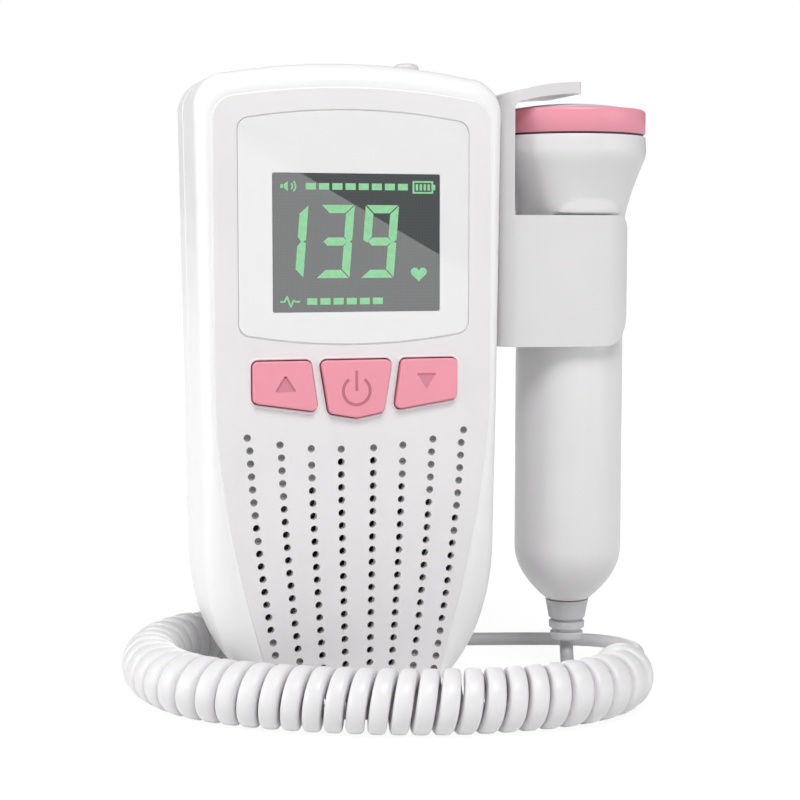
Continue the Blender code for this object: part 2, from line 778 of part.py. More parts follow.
def rear_housing(finish):
    body = body_outline()
    start = PARTING_Y + GAP
    outer = [at_depth(body, start)]
    for k in range(SHOULDER_STEPS + 1):
        angle = math.pi / 2 * k / SHOULDER_STEPS
        ring = offset(body, BACK_ROUND * (1 - math.cos(angle)))
        outer.append(at_depth(ring, BACK_Y - BACK_ROUND * (1 - math.sin(angle))))
    inner_body = offset(body, WALL)
    inner = [
        at_depth(inner_body, start),
        at_depth(inner_body, BACK_Y - BACK_ROUND),
        at_depth(offset(body, BACK_ROUND - WALL / 2), BACK_INNER_Y),
    ]
    bm = bmesh.new()
    add_rings(bm, outer[::-1] + inner)
    made = piece("rear_housing", bm, finish)

    tub = bmesh.new()
    wide = BAY_HALF_WIDTH + BAY_WALL
    add_prism(
        tub, rectangle(-wide, wide, BAY_FLOOR - BAY_WALL, bay_top() + BAY_WALL), bay_front() - BAY_WALL,
        BACK_INNER_Y + WALL / 2,
    )
    combine(made, tool("bay_tub", tub), "UNION")
    bosses = bmesh.new()
    for place in boss_places():
        end = PARTING_Y - BOSS_SETBACK + GAP
        add_cylinder(bosses, "Y", place, REAR_BOSS_RADIUS, end, BACK_INNER_Y + WALL / 2)
    combine(made, tool("rear_bosses", bosses), "UNION")

    inside = bmesh.new()
    add_prism(
        inside, rectangle(-BAY_HALF_WIDTH, BAY_HALF_WIDTH, BAY_FLOOR, bay_top()), bay_front(), BACK_Y + OVERRUN
    )
    for place in boss_places():
        end = PARTING_Y - BOSS_SETBACK + GAP
        seat = BACK_Y - COUNTERBORE_DEPTH
        profile = [
            (0, end - OVERRUN),
            (SCREW_RADIUS + HOLE_GAP, end - OVERRUN),
            (SCREW_RADIUS + HOLE_GAP, seat),
            (SCREW_HEAD_RADIUS + HOLE_GAP, seat),
            (SCREW_HEAD_RADIUS + HOLE_GAP, BACK_Y + OVERRUN),
            (0, BACK_Y + OVERRUN),
        ]
        add_turned(inside, profile, "Y", (place[0], 0, place[1]), steps=ARC_STEPS * 2)
    add_cylinder(
        inside, "Y", (GLAND_X, GLAND_Z), GLAND_NECK_RADIUS + HOLE_GAP, BACK_INNER_Y - OVERRUN, BACK_Y + OVERRUN
    )
    combine(made, tool("rear_holes", inside), "DIFFERENCE")

    pins = bmesh.new()
    reach = BAY_HALF_WIDTH + DOOR_PIN_LENGTH
    for side in (-1, 1):
        ends = sorted((side * (BAY_HALF_WIDTH - OVERRUN), side * reach))
        add_cylinder(pins, "X", door_pivot(), DOOR_PIN_RADIUS + HOLE_GAP, ends[0], ends[1], ARC_STEPS * 2)
    combine(made, tool("door_pin_holes", pins), "DIFFERENCE")
    return made


def battery_door(finish):
    """Door that swings on two short pins in a round knuckle at its lower edge."""
    pivot_y, pivot_z = door_pivot()
    inner = BACK_Y - DOOR_THICKNESS
    top = bay_top() - GAP
    half_turn = arc((pivot_y, pivot_z), KNUCKLE_RADIUS, 0, -180, ARC_STEPS * 2)
    step = 2 * KNUCKLE_RADIUS - DOOR_THICKNESS
    outline = [(BACK_Y, top)] + half_turn + [(inner, pivot_z + step), (inner, top)]
    wide = BAY_HALF_WIDTH - GAP
    bm = bmesh.new()
    add_prism(bm, outline, -wide, wide, "X")
    made = piece("battery_door", bm, finish)
    pins = bmesh.new()
    reach = wide + DOOR_PIN_LENGTH
    for side in (-1, 1):
        ends = sorted((side * (wide - OVERRUN), side * reach))
        add_cylinder(pins, "X", (pivot_y, pivot_z), DOOR_PIN_RADIUS, ends[0], ends[1], ARC_STEPS * 2)
    combine(made, tool("door_pins", pins), "UNION")
    grips = bmesh.new()
    for k in range(DOOR_GRIPS):
        low = top - DOOR_GRIP_PITCH * (k + 2)
        add_prism(
            grips, rectangle(-DOOR_GRIP_HALF_WIDTH, DOOR_GRIP_HALF_WIDTH, low, low + DOOR_GRIP_HEIGHT),
            BACK_Y - DOOR_GRIP_DEPTH, BACK_Y + OVERRUN,
        )
    combine(made, tool("door_grips", grips), "DIFFERENCE")
    set_origin(made, (0, pivot_y, pivot_z))
    return made


# Inside the housing


def display(lens_finish, screen_finish, frame_finish):
    seat = FRONT_Y
    prism("display_lens", lens_outline(), seat, seat + LENS_THICKNESS, lens_finish)
    low = SCREEN_CENTRE - LCD_HEIGHT / 2
    high = SCREEN_CENTRE + LCD_HEIGHT / 2
    front = FRONT_INNER_Y + GAP
    panel = rectangle(-LCD_HALF_WIDTH, LCD_HALF_WIDTH, low, high)
    prism("lcd_panel", panel, front, front + LCD_THICKNESS, screen_finish)
    room = LCD_HALF_WIDTH + GAP
    wide = room + LCD_FRAME_WALL
    bm = bmesh.new()
    outer = rectangle(-wide, wide, low - GAP - LCD_FRAME_WALL, high + GAP + LCD_FRAME_WALL)
    inner = rectangle(-room, room, low - GAP, high + GAP)
    back = front + LCD_FRAME_DEPTH
    rings = [at_depth(outer, front), at_depth(outer, back), at_depth(inner, back), at_depth(inner, front)]
    loops = [[bm.verts.new(point) for point in ring] for ring in rings]
    for k, loop in enumerate(loops):
        following = loops[(k + 1) % len(loops)]
        for j in range(len(loop)):
            ahead = (j + 1) % len(loop)
            bm.faces.new((loop[j], loop[ahead], following[ahead], following[j]))
    piece("lcd_frame", bm, frame_finish)


def main_board(finish):
    top = UNIT_HEIGHT - BOARD_TOP_DROP
    shoulder = UNIT_HEIGHT - BOARD_SHOULDER_DROP
    half = [
        (0, top),
        (BOARD_NECK_HALF_WIDTH, top),
        (BOARD_NECK_HALF_WIDTH, shoulder),
        (BOARD_HALF_WIDTH, shoulder),
        (BOARD_HALF_WIDTH, BOARD_BOTTOM),
        (0, BOARD_BOTTOM),
    ]
    made = prism("main_board", mirrored(half), BOARD_FRONT_Y, BOARD_BACK_Y, finish)
    holes = bmesh.new()
    for side in (-1, 1):
        add_cylinder(
            holes, "Y", (side * POST_X, POST_Z), SCREW_RADIUS + HOLE_GAP, BOARD_FRONT_Y - OVERRUN,
            BOARD_BACK_Y + OVERRUN, ARC_STEPS * 2,
        )
    combine(made, tool("board_holes", holes), "DIFFERENCE")


def speaker(frame_finish, cone_finish, magnet_finish):
    """Small loudspeaker behind the grille: frame, cone and magnet, turned round Y."""
    centre = (0, FRONT_INNER_Y + GAP, SPEAKER_CENTRE)
    bore = SPEAKER_RADIUS - SPEAKER_RIM
    back = SPEAKER_DEPTH
    frame = [
        (SPEAKER_RADIUS, 0),
        (SPEAKER_RADIUS, SPEAKER_RIM_THICKNESS),
        (SPEAKER_BACK_RADIUS, back),
        (DUST_CAP_RADIUS, back),
        (DUST_CAP_RADIUS, back - SPEAKER_SHEET),
        (SPEAKER_BACK_RADIUS - SPEAKER_SHEET, back - SPEAKER_SHEET),
        (bore, SPEAKER_RIM_THICKNESS),
        (bore, 0),
    ]
    turned("speaker_frame", frame, "Y", centre, frame_finish, closed=True, steps=PROBE_STEPS)
    edge = bore - GAP
    low = back - SPEAKER_SHEET - GAP
    cone = [
        (0, low - CONE_SHEET),
        (DUST_CAP_RADIUS, low - CONE_SHEET),
        (edge - CONE_SHEET, 0),
        (edge, 0),
        (edge, CONE_SHEET),
        (SPEAKER_BACK_RADIUS - SPEAKER_SHEET - GAP, low - CONE_SHEET),
        (DUST_CAP_RADIUS, low),
        (0, low),
    ]
    turned("speaker_cone", cone, "Y", centre, cone_finish, steps=PROBE_STEPS)
    magnet = [(0, back + GAP), (MAGNET_RADIUS, back + GAP)]
    magnet += [(MAGNET_RADIUS, back + GAP + MAGNET_THICKNESS), (0, back + GAP + MAGNET_THICKNESS)]
    turned("speaker_magnet", magnet, "Y", centre, magnet_finish, steps=ROUND_STEPS)


def cell_x(side):
    return side * (CELL_RADIUS + CELL_SPACING / 2)


def batteries(cell_finish, contact_finish):
    """Two cells side by side, head to tail, between a bridge plate below and two plates above."""
    y = cell_y()
    plate = BAY_FLOOR + GAP
    first = plate + CONTACT_THICKNESS + GAP
    nub_down = first
    flat_down = first + SPRING_HEIGHT + GAP
    for number, side, upright in ((1, -1, True), (2, 1, False)):
        profile = [
            (0, 0),
            (CELL_RADIUS, 0),
            (CELL_RADIUS, CELL_LENGTH),
            (CELL_NUB_RADIUS, CELL_LENGTH),
            (CELL_NUB_RADIUS, CELL_LENGTH + CELL_NUB),
            (0, CELL_LENGTH + CELL_NUB),
        ]
        if upright:
            placed = [(radius, flat_down + height) for radius, height in profile]
        else:
            top = nub_down + CELL_NUB + CELL_LENGTH
            placed = [(radius, top - height) for radius, height in profile]
        turned(f"battery_{number}", placed, "Z", (cell_x(side), y, 0), cell_finish)
    reach = cell_x(1) + CONTACT_HALF_WIDTH
    low_y = y - CONTACT_HALF_WIDTH
    high_y = y + CONTACT_HALF_WIDTH
    bridge = rectangle(-reach, reach, low_y, high_y)
    prism("contact_bridge", bridge, plate, plate + CONTACT_THICKNESS, contact_finish, "Z")
    top = bay_top() - GAP
    for name, side in (("contact_plus", -1), ("contact_minus", 1)):
        middle = cell_x(side)
        outline = rectangle(middle - CONTACT_HALF_WIDTH, middle + CONTACT_HALF_WIDTH, low_y, high_y)
        prism(name, outline, top - CONTACT_THICKNESS, top, contact_finish, "Z")
    contact_spring("contact_spring_low", cell_x(-1), first, 1, contact_finish)
    contact_spring("contact_spring_high", cell_x(1), top - CONTACT_THICKNESS - GAP, -1, contact_finish)


def contact_spring(name, x, base, way, finish):
    """Conical wire spring on a contact plate, narrow at its cell."""
    wire = SPRING_WIRE / 2
    run = SPRING_HEIGHT - SPRING_WIRE
    count = SPRING_TURNS * 10
    points = []
    for k in range(count + 1):
        share = k / count
        angle = 2 * math.pi * SPRING_TURNS * share
        radius = SPRING_RADIUS + (SPRING_TIP_RADIUS - SPRING_RADIUS) * share
        points.append(
            Vector((x + radius * math.cos(angle), cell_y() + radius * math.sin(angle), base + way * (wire + run * share)))
        )
    tube(name, points, SPRING_WIRE, finish, resolution=1)


def tube(name, points, diameter, finish, resolution=2):
    """Round tube with filled ends along points."""
    data = bpy.data.curves.new(name, "CURVE")
    data.dimensions = "3D"
    data.bevel_depth = diameter / 2
    data.bevel_resolution = resolution
    data.use_fill_caps = True
    line = data.splines.new("POLY")
    line.points.add(len(points) - 1)
    for target, point in zip(line.points, points):
        target.co = (*point, 1)
    data.materials.append(finish)
    return link(name, data)


def screw(name, place, axis, way, length, finish):
    """Pan head screw; place is the middle of the head's seat and way the side that the head is on."""
    centre = Vector(place)
    profile = [
        (0, -way * length),
        (SCREW_RADIUS, -way * length),
        (SCREW_RADIUS, 0),
        (SCREW_HEAD_RADIUS, 0),
        (SCREW_HEAD_RADIUS, way * SCREW_HEAD_HEIGHT / 2),
        (SCREW_HEAD_RADIUS / 2, way * SCREW_HEAD_HEIGHT),
        (0, way * SCREW_HEAD_HEIGHT),
    ]
    turned(name, profile, axis, centre, finish, steps=ARC_STEPS * 2)


def screws(finish):
    seat = BACK_Y - COUNTERBORE_DEPTH + GAP
    length = seat - (PARTING_Y - BOSS_SETBACK) + SCREW_BITE
    for number, (x, z) in enumerate(boss_places(), 1):
        screw(f"housing_screw_{number}", (x, seat, z), "Y", 1, length, finish)
    for number, side in enumerate((-1, 1), 1):
        seat = BOARD_BACK_Y + GAP
        depth = seat - FRONT_INNER_Y - GAP
        screw(f"board_screw_{number}", (side * POST_X, seat, POST_Z), "Y", 1, depth, finish)
    for number, z in enumerate(holder_screw_heights(), 1):
        inside = screw_axis_x(z) - GAP
        screw(f"holder_screw_{number}", (inside, HOLDER_SCREW_DEPTH, z), "X", -1, HOLDER_SCREW_LENGTH, finish)


def socket_y():
    return BOARD_BACK_Y + GAP + SOCKET_DEPTH / 2


def headphone_parts(socket_finish, cover_finish):
    top = UNIT_HEIGHT - TOP_ARCH - WALL - GAP
    half = SOCKET_HALF_WIDTH
    deep = SOCKET_DEPTH / 2
    outline = rectangle(SOCKET_X - half, SOCKET_X + half, socket_y() - deep, socket_y() + deep)
    made = prism("headphone_socket", outline, top - SOCKET_HEIGHT, top, socket_finish, "Z")
    bore = bmesh.new()
    add_cylinder(bore, "Z", (SOCKET_X, socket_y()), SOCKET_BORE, top - SOCKET_BORE_DEPTH, top + OVERRUN)
    combine(made, tool("socket_bore", bore), "DIFFERENCE")

    seat = UNIT_HEIGHT - TOP_ARCH * ((SOCKET_X - COVER_RADIUS) / BODY_HALF_WIDTH) ** 2 + GAP
    profile = [
        (0, seat - COVER_STEM_LENGTH),
        (COVER_STEM_RADIUS, seat - COVER_STEM_LENGTH),
        (COVER_STEM_RADIUS, seat),
        (COVER_RADIUS, seat),
        (COVER_RADIUS, seat + COVER_HEIGHT / 2),
    ]
    for k in range(1, CORNER_STEPS + 1):
        angle = math.pi / 2 * k / CORNER_STEPS
        radius = COVER_RADIUS * (1 - (1 - math.cos(angle)) / 2)
        profile.append((radius, seat + COVER_HEIGHT / 2 * (1 + math.sin(angle))))
    profile.append((0, seat + COVER_HEIGHT))
    cover = turned("headphone_cover", profile, "Z", (SOCKET_X, socket_y(), 0), cover_finish)
    set_origin(cover, (SOCKET_X, socket_y(), seat))


def cord_gland(finish):
    inner = BACK_INNER_Y - GAP
    outer = BACK_Y + GAP
    tip = outer + GLAND_LENGTH
    profile = [
        (0, inner - GLAND_FLANGE),
        (GLAND_FLANGE_RADIUS, inner - GLAND_FLANGE),
        (GLAND_FLANGE_RADIUS, inner),
        (GLAND_NECK_RADIUS, inner),
        (GLAND_NECK_RADIUS, outer),
        (GLAND_RADIUS, outer),
        (GLAND_RADIUS, outer + GLAND_LENGTH / 4),
        (GLAND_TIP_RADIUS, tip),
        (0, tip),
    ]
    turned("cord_gland", profile, "Y", (GLAND_X, 0, GLAND_Z), finish)


# Probe


def handle_outer():
    """Outer profile of the probe from its lower hole to its seam, as (radius, height)."""
    points = []
    for k in range(CORNER_STEPS * 2 + 1):
        share = k / (CORNER_STEPS * 2)
        radius = HANDLE_RADIUS - (HANDLE_RADIUS - BOWL_END_RADIUS) * (1 - share) ** BOWL_POWER
        points.append((radius, BOWL_BOTTOM + (BOWL_TOP - BOWL_BOTTOM) * share))
    for k in range(ARC_STEPS + 1):
        share = k / ARC_STEPS
        radius = HANDLE_RADIUS + (SEAM_RADIUS - HANDLE_RADIUS) * share**FLARE_POWER
        points.append((radius, FLARE_BOTTOM + (FLARE_TOP - FLARE_BOTTOM) * share))
    points.append((HEAD_RADIUS, FLARE_TOP + HEAD_EDGE))
    points.append((SEAM_RADIUS, SEAM_HEIGHT))
    return points


def inner_profile(outer):
    """Profile inside the probe's wall, from its seam down to its lower hole."""
    points = []
    for k, (radius, height) in enumerate(outer):
        before, after = outer[max(k - 1, 0)], outer[min(k + 1, len(outer) - 1)]
        run = Vector((after[0] - before[0], after[1] - before[1])).normalized()
        points.append((radius - PROBE_WALL * run.y, height + PROBE_WALL * run.x))
    points[0] = (RELIEF_FLANGE_RADIUS + GAP, BOWL_BOTTOM + PROBE_WALL)
    points[-1] = (points[-1][0], SEAM_HEIGHT)
    return points[::-1]


def relief_hole():
    return RELIEF_NECK_RADIUS + HOLE_GAP


def probe_body(finish):
    outer = handle_outer()
    inner = inner_profile(outer)
    profile = [(relief_hole(), BOWL_BOTTOM)] + outer + inner + [(relief_hole(), BOWL_BOTTOM + PROBE_WALL)]
    made = turned(
        "probe_body", profile, "Z", (PROBE_X, PROBE_Y, 0), finish, closed=True, steps=PROBE_STEPS
    )
    bm = bmesh.new()
    floor = HANDLE_RADIUS - THUMB_DEPTH
    sides = ROUND_STEPS + ARC_STEPS
    rings = []
    for scale, outside in ((1, True), (1, False), (2 / 3, False), (1 / 3, False)):
        ring = []
        for k in range(sides):
            angle = 2 * math.pi * k / sides
            x = THUMB_HALF_WIDTH * scale * math.cos(angle)
            z = THUMB_CENTRE + THUMB_HALF_HEIGHT * scale * math.sin(angle)
            y = -HEAD_RADIUS - OVERRUN if outside else -math.sqrt(floor * floor - x * x)
            ring.append((PROBE_X + x, PROBE_Y + y, z))
        rings.append(ring)
    add_rings(bm, rings)
    combine(made, tool("thumb_recess", bm), "DIFFERENCE")
    set_origin(made, (PROBE_X, PROBE_Y, CLIP_TOP))
    return made


def probe_head(ring_finish, face_finish, crystal_finish, backing_finish):
    centre = (PROBE_X, PROBE_Y, 0)
    low = SEAM_HEIGHT + GAP
    top = low + RING_HEIGHT
    bore = SEAM_RADIUS - RING_WALL
    ring = [(bore, low), (SEAM_RADIUS, low), (SEAM_RADIUS, top - RING_EDGE)]
    ring += [(SEAM_RADIUS - RING_EDGE / 2, top - RING_EDGE / 3), (SEAM_RADIUS - RING_EDGE, top), (bore, top)]
    turned("probe_ring", ring, "Z", centre, ring_finish, closed=True, steps=PROBE_STEPS)

    edge = bore - GAP
    skirt = top - DOME_SKIRT
    sphere = (edge * edge + DOME_RISE * DOME_RISE) / (2 * DOME_RISE)
    profile = [(0, skirt), (edge, skirt), (edge, top)]
    widest = math.asin(edge / sphere)
    for k in range(1, CORNER_STEPS):
        angle = widest * (1 - k / CORNER_STEPS)
        profile.append((sphere * math.sin(angle), top + DOME_RISE - sphere * (1 - math.cos(angle))))
    profile.append((0, top + DOME_RISE))
    turned("probe_face", profile, "Z", centre, face_finish, steps=PROBE_STEPS)

    high = skirt - GAP
    flat = CRYSTAL_GAP / 2
    start = math.degrees(math.asin(flat / CRYSTAL_RADIUS))
    for name, turn in (("crystal_send", 0), ("crystal_receive", 180)):
        outline = arc((PROBE_X, PROBE_Y), CRYSTAL_RADIUS, turn + start, turn + 180 - start, ROUND_STEPS // 2)
        prism(name, outline, high - CRYSTAL_THICKNESS, high, crystal_finish, "Z")

    seat = high - CRYSTAL_THICKNESS - GAP
    wide = SEAM_RADIUS - PROBE_WALL - GAP
    backing = [(0, seat - BACKING_THICKNESS), (backing_radius(), seat - BACKING_THICKNESS)]
    backing += [(wide, seat - BACKING_THICKNESS / 2), (wide, seat), (0, seat)]
    turned("crystal_backing", backing, "Z", centre, backing_finish, steps=ROUND_STEPS * 3 // 2)


def backing_radius():
    return SEAM_RADIUS - 2 * PROBE_WALL - GAP


def probe_board(finish):
    wide = HANDLE_RADIUS - PROBE_WALL - GAP
    half = PROBE_BOARD_THICKNESS / 2
    reach = math.sqrt(wide * wide - half * half) - GAP
    outline = rectangle(PROBE_X - reach, PROBE_X + reach, PROBE_Y - half, PROBE_Y + half)
    prism("probe_board", outline, PROBE_BOARD_BOTTOM, PROBE_BOARD_BOTTOM + PROBE_BOARD_LENGTH, finish, "Z")


def strain_relief(finish):
    """Ribbed sleeve under the probe, held by a flange inside the handle."""
    seat = BOWL_BOTTOM - GAP
    inner = BOWL_BOTTOM + PROBE_WALL + GAP
    low = RELIEF_BOTTOM
    end = low + RELIEF_END_HEIGHT
    groove = RELIEF_WAIST_RADIUS - RELIEF_GROOVE_DEPTH
    ring_low = end + RELIEF_GROOVE
    ring_high = ring_low + RELIEF_RING
    profile = [
        (0, low),
        (RELIEF_END_RADIUS - RELIEF_GROOVE_DEPTH, low),
        (RELIEF_END_RADIUS, low + RELIEF_GROOVE_DEPTH),
        (RELIEF_END_RADIUS, end),
        (groove, end),
        (groove, ring_low),
        (RELIEF_WAIST_RADIUS, ring_low),
        (RELIEF_WAIST_RADIUS, ring_high),
        (groove, ring_high),
        (groove, ring_high + RELIEF_GROOVE),
        (RELIEF_WAIST_RADIUS, ring_high + RELIEF_GROOVE),
        (RELIEF_TOP_RADIUS, seat),
        (RELIEF_NECK_RADIUS, seat),
        (RELIEF_NECK_RADIUS, inner),
        (RELIEF_FLANGE_RADIUS, inner),
        (RELIEF_FLANGE_RADIUS, inner + RELIEF_FLANGE),
        (0, inner + RELIEF_FLANGE),
    ]
    turned("probe_strain_relief", profile, "Z", (PROBE_X, PROBE_Y, 0), finish, steps=ROUND_STEPS * 3 // 2)


# Probe holder


def holder_x():
    """Inner face of the side plate, flat beside the widest part of the housing."""
    return BODY_HALF_WIDTH + GAP


def probe_holder(finish):
    """Side plate and tongue in one profile, with the web and cradle that carry the clip."""
    inner = holder_x()
    outer = inner + HOLDER_THICKNESS
    tip = inner + TONGUE_REACH
    top = []
    for k in range(ARC_STEPS + 2):
        share = k / (ARC_STEPS + 1)
        top.append((inner + TONGUE_REACH * share, TONGUE_ROOT + TONGUE_RISE * (1 - (1 - share) ** 2)))
    under = [(x, z - TONGUE_THICKNESS) for x, z in top if x > outer + CLIP_WALL / 2]
    corner = (outer, under[0][1] - CLIP_WALL / 2)
    outline = [(inner, CLIP_BOTTOM)] + top + under[::-1] + [corner, (outer, CLIP_BOTTOM)]
    bm = bmesh.new()
    add_prism(bm, outline, -HOLDER_FRONT, HOLDER_BACK)
    ends = [
        edge
        for edge in bm.edges
        if min(vertex.co.x for vertex in edge.verts) > tip - MERGE
        and abs(edge.verts[0].co.y - edge.verts[1].co.y) < MERGE
    ]
    bmesh.ops.bevel(bm, geom=ends, offset=TONGUE_CORNER, segments=CORNER_STEPS, profile=0.5, affect="EDGES")
    made = piece("probe_holder", bm, finish)

    web = bmesh.new()
    clip_outer = HANDLE_RADIUS + CLIP_PLAY + CLIP_WALL
    add_prism(
        web, rectangle(outer - HOLDER_THICKNESS / 2, PROBE_X - clip_outer + CLIP_WALL, -WEB_HALF_DEPTH, WEB_HALF_DEPTH),
        CLIP_BOTTOM, CLIP_TOP, "Z",
    )
    combine(made, tool("holder_web", web), "UNION")
    cradle = bmesh.new()
    turn = CLIP_ROOT_DEGREES
    outside = arc((PROBE_X, PROBE_Y), clip_outer, 180 - turn, 180 + turn, ARC_STEPS)
    inside = arc((PROBE_X, PROBE_Y), clip_outer - CLIP_WALL, 180 + turn, 180 - turn, ARC_STEPS)
    add_prism(cradle, outside + inside, CLIP_BOTTOM, CLIP_TOP, "Z")
    combine(made, tool("holder_cradle", cradle), "UNION")
    room = bmesh.new()
    add_cylinder(
        room, "Z", (PROBE_X, PROBE_Y), clip_outer - CLIP_WALL, CLIP_BOTTOM - OVERRUN, CLIP_TOP + OVERRUN,
        ARC_STEPS * 8,
    )
    combine(made, tool("cradle_room", room), "DIFFERENCE")
    pilots = bmesh.new()
    for z in holder_screw_heights():
        end = screw_axis_x(z) + HOLDER_SCREW_LENGTH
        add_cylinder(
            pilots, "X", (HOLDER_SCREW_DEPTH, z), SCREW_RADIUS + HOLE_GAP, inner - OVERRUN, end, ARC_STEPS * 2
        )
    combine(made, tool("holder_pilots", pilots), "DIFFERENCE")
    return made


def clip_arm(name, side, depth, finish):
    """Springy arm of the clip: it leaves the plate's edge straight and then bends round the handle."""
    inner_radius = HANDLE_RADIUS + CLIP_PLAY
    outer_radius = inner_radius + CLIP_WALL
    start = holder_x() + HOLDER_THICKNESS + GAP
    reach = PROBE_X - start
    distance = math.hypot(reach, depth)
    lean = math.asin(outer_radius / distance) - math.atan2(depth, reach)
    straight = math.sqrt(distance * distance - outer_radius * outer_radius)
    turn = lean + math.radians(CLIP_REACH_DEGREES)
    run = straight + outer_radius * turn
    plain = run - CLIP_LOW_CORNER
    lengths = [0, straight / 2]
    lengths += [straight + (plain - straight) * k / (ARC_STEPS * 2) for k in range(ARC_STEPS * 2)]
    lengths += [plain + CLIP_LOW_CORNER * math.sin(math.pi / 2 * k / ARC_STEPS) for k in range(ARC_STEPS + 1)]
    rings = []
    for length in lengths:
        bend = max(length - straight, 0) / outer_radius
        out = Vector((-math.sin(lean - bend), math.cos(lean - bend)))
        if length > straight:
            outer = Vector((PROBE_X, 0)) + out * outer_radius
        else:
            outer = Vector((start + length * math.cos(lean), depth + length * math.sin(lean)))
        inner = outer - out * CLIP_WALL
        if length == 0:
            inner = Vector((start, depth - CLIP_WALL / math.cos(lean)))
        low = CLIP_BOTTOM + corner_drop(length - plain, CLIP_LOW_CORNER)
        high = CLIP_TOP - corner_drop(length - run + CLIP_HIGH_CORNER, CLIP_HIGH_CORNER)
        corners = ((inner, low), (outer, low), (outer, high), (inner, high))
        rings.append([(point.x, PROBE_Y + side * point.y, z) for point, z in corners])
    bm = bmesh.new()
    add_rings(bm, rings)
    return piece(name, bm, finish)


def corner_drop(along, radius):
    """How far a round corner has drawn in at a distance along it."""
    if along <= 0:
        return 0
    return radius - math.sqrt(max(radius * radius - along * along, 0))


# Cord


def on_floor():
    return CORD_DIAMETER / 2 + CORD_LIFT


def smooth_line(route, step):
    """Evenly spaced points on a smooth curve through a route's points."""
    dense = []
    ends = [route[0] * 2 - route[1]] + route + [route[-1] * 2 - route[-2]]
    for before, one, other, after in zip(ends, ends[1:], ends[2:], ends[3:]):
        for k in range(ROUND_STEPS):
            t = k / ROUND_STEPS
            dense.append(
                (
                    one * 2
                    + (other - before) * t
                    + (before * 2 - one * 5 + other * 4 - after) * t**2
                    + (one * 3 - before - other * 3 + after) * t**3
                )
                / 2
            )
    dense.append(route[-1])
    return evenly(dense, step)


def evenly(points, step):
    total = sum((b - a).length for a, b in zip(points, points[1:]))
    count = max(round(total / step), 2)
    spaced = [points[0].copy()]
    want = total / count
    gone = 0
    for a, b in zip(points, points[1:]):
        length = (b - a).length
        while len(spaced) < count and gone + length >= want * len(spaced) - MERGE:
            spaced.append(a.lerp(b, (want * len(spaced) - gone) / length))
        gone += length
    spaced.append(points[-1].copy())
    return spaced


def millimetres(route):
    """Route points that are written in thousandths of a metre."""
    return [Vector(point) / 1000 for point in route]


UNIT_LEAD_ROUTE = [
    (4.0, 21.4, 10.0),
    (4.3, 25.0, 8.5),
    (5.9, 28.4, 5.6),
    (9.0, 31.0, 3.2),
    (13.8, 32.4, 1.9),
    (20.5, 32.6, 1.65),
    (28.0, 31.3, 1.65),
    (36.7, 29.3, 1.65),
    (46.0, 26.8, 1.65),
    (55.0, 24.2, 1.65),
    (62.5, 21.6, 1.65),
    (69.0, 18.0, 1.65),
    (73.2, 12.8, 1.65),
    (74.2, 6.5, 1.65),
    (72.0, 0.5, 1.65),
    (67.5, -4.5, 1.65),
    (61.4, -8.6, 1.65),
    (57.4, -12.6, 1.65),
    (56.4, -15.6, 1.65),
    (56.07, -17.2, 1.65),
]

COIL_ROUTE = [
    (56.0, -17.5),
    (54.8, -22.5),
    (54.3, -28.0),
    (52.6, -34.0),
    (48.6, -39.3),
    (41.5, -43.2),
    (31.5, -45.2),
    (15.0, -44.5),
    (0.0, -40.5),
    (-15.0, -33.5),
    (-27.0, -25.8),
    (-35.6, -16.8),
    (-40.1, -6.3),
    (-40.9, 4.3),
    (-38.0, 13.9),
    (-32.5, 21.6),
    (-25.6, 26.8),
    (-18.0, 29.2),
    (-13.5, 29.8),
]

PROBE_LEAD_ROUTE = [
    (-13.2, 29.84, 1.65),
    (-8.4, 30.2, 1.65),
    (-3.8, 28.6, 1.65),
    (-1.0, 24.6, 1.65),
    (-2.4, 20.0, 1.65),
    (-6.8, 17.6, 1.65),
    (-13.0, 16.8, 1.65),
    (-20.0, 15.0, 1.65),
    (-25.6, 10.5, 1.65),
    (-28.2, 3.5, 1.65),
    (-28.4, -4.5, 1.65),
    (-26.4, -12.5, 1.65),
    (-20.8, -19.2, 1.65),
    (-11.5, -24.8, 1.65),
    (0.0, -29.2, 1.65),
    (12.5, -32.4, 1.65),
    (24.5, -33.4, 1.65),
    (35.0, -31.2, 1.65),
    (43.2, -25.4, 1.65),
    (48.2, -18.2, 1.65),
    (50.9, -10.6, 1.65),
    (52.3, -5.3, 1.65),
]


def coil_axis():
    """Points on the middle line of the coil on the floor, a tenth of a pitch apart."""
    flat = [Vector((x, y, 0)) for x, y in COIL_ROUTE]
    return smooth_line([point / 1000 for point in flat], CURL_PITCH / CURL_POINTS / 2)


def curl_share(along, total):
    """Share of the full radius that the curls have, which fade into the straight ends of the cord."""
    share = (min(along, total - along) - CORD_DIAMETER) / CURL_FADE
    share = min(max(share, 0), 1)
    return share * share * (3 - 2 * share)


def coil_points():
    """One unbroken helix that lies on the floor and follows the coil's middle line."""
    line = coil_axis()
    lengths = [0]
    for a, b in zip(line, line[1:]):
        lengths.append(lengths[-1] + (b - a).length)
    total = lengths[-1]
    turned_so_far = 0
    wanted = 0
    points = []
    for k in range(len(line)):
        ahead = (line[min(k + 1, len(line) - 1)] - line[max(k - 1, 0)]).normalized()
        side = Vector((-ahead.y, ahead.x, 0))
        share = curl_share(lengths[k], total)
        radius = CURL_RADIUS * share
        if k:
            pitch = CURL_END_PITCH + (curl_pitch(line, k) - CURL_END_PITCH) * share
            turned_so_far += (lengths[k] - lengths[k - 1]) / pitch
        centre = line[k] + Vector((0, 0, on_floor() + radius))
        if turned_so_far >= wanted - MERGE or k == len(line) - 1:
            angle = -2 * math.pi * turned_so_far
            points.append(centre + side * radius * math.cos(angle) + Vector((0, 0, radius * math.sin(angle))))
            wanted += 1 / CURL_POINTS
    return points


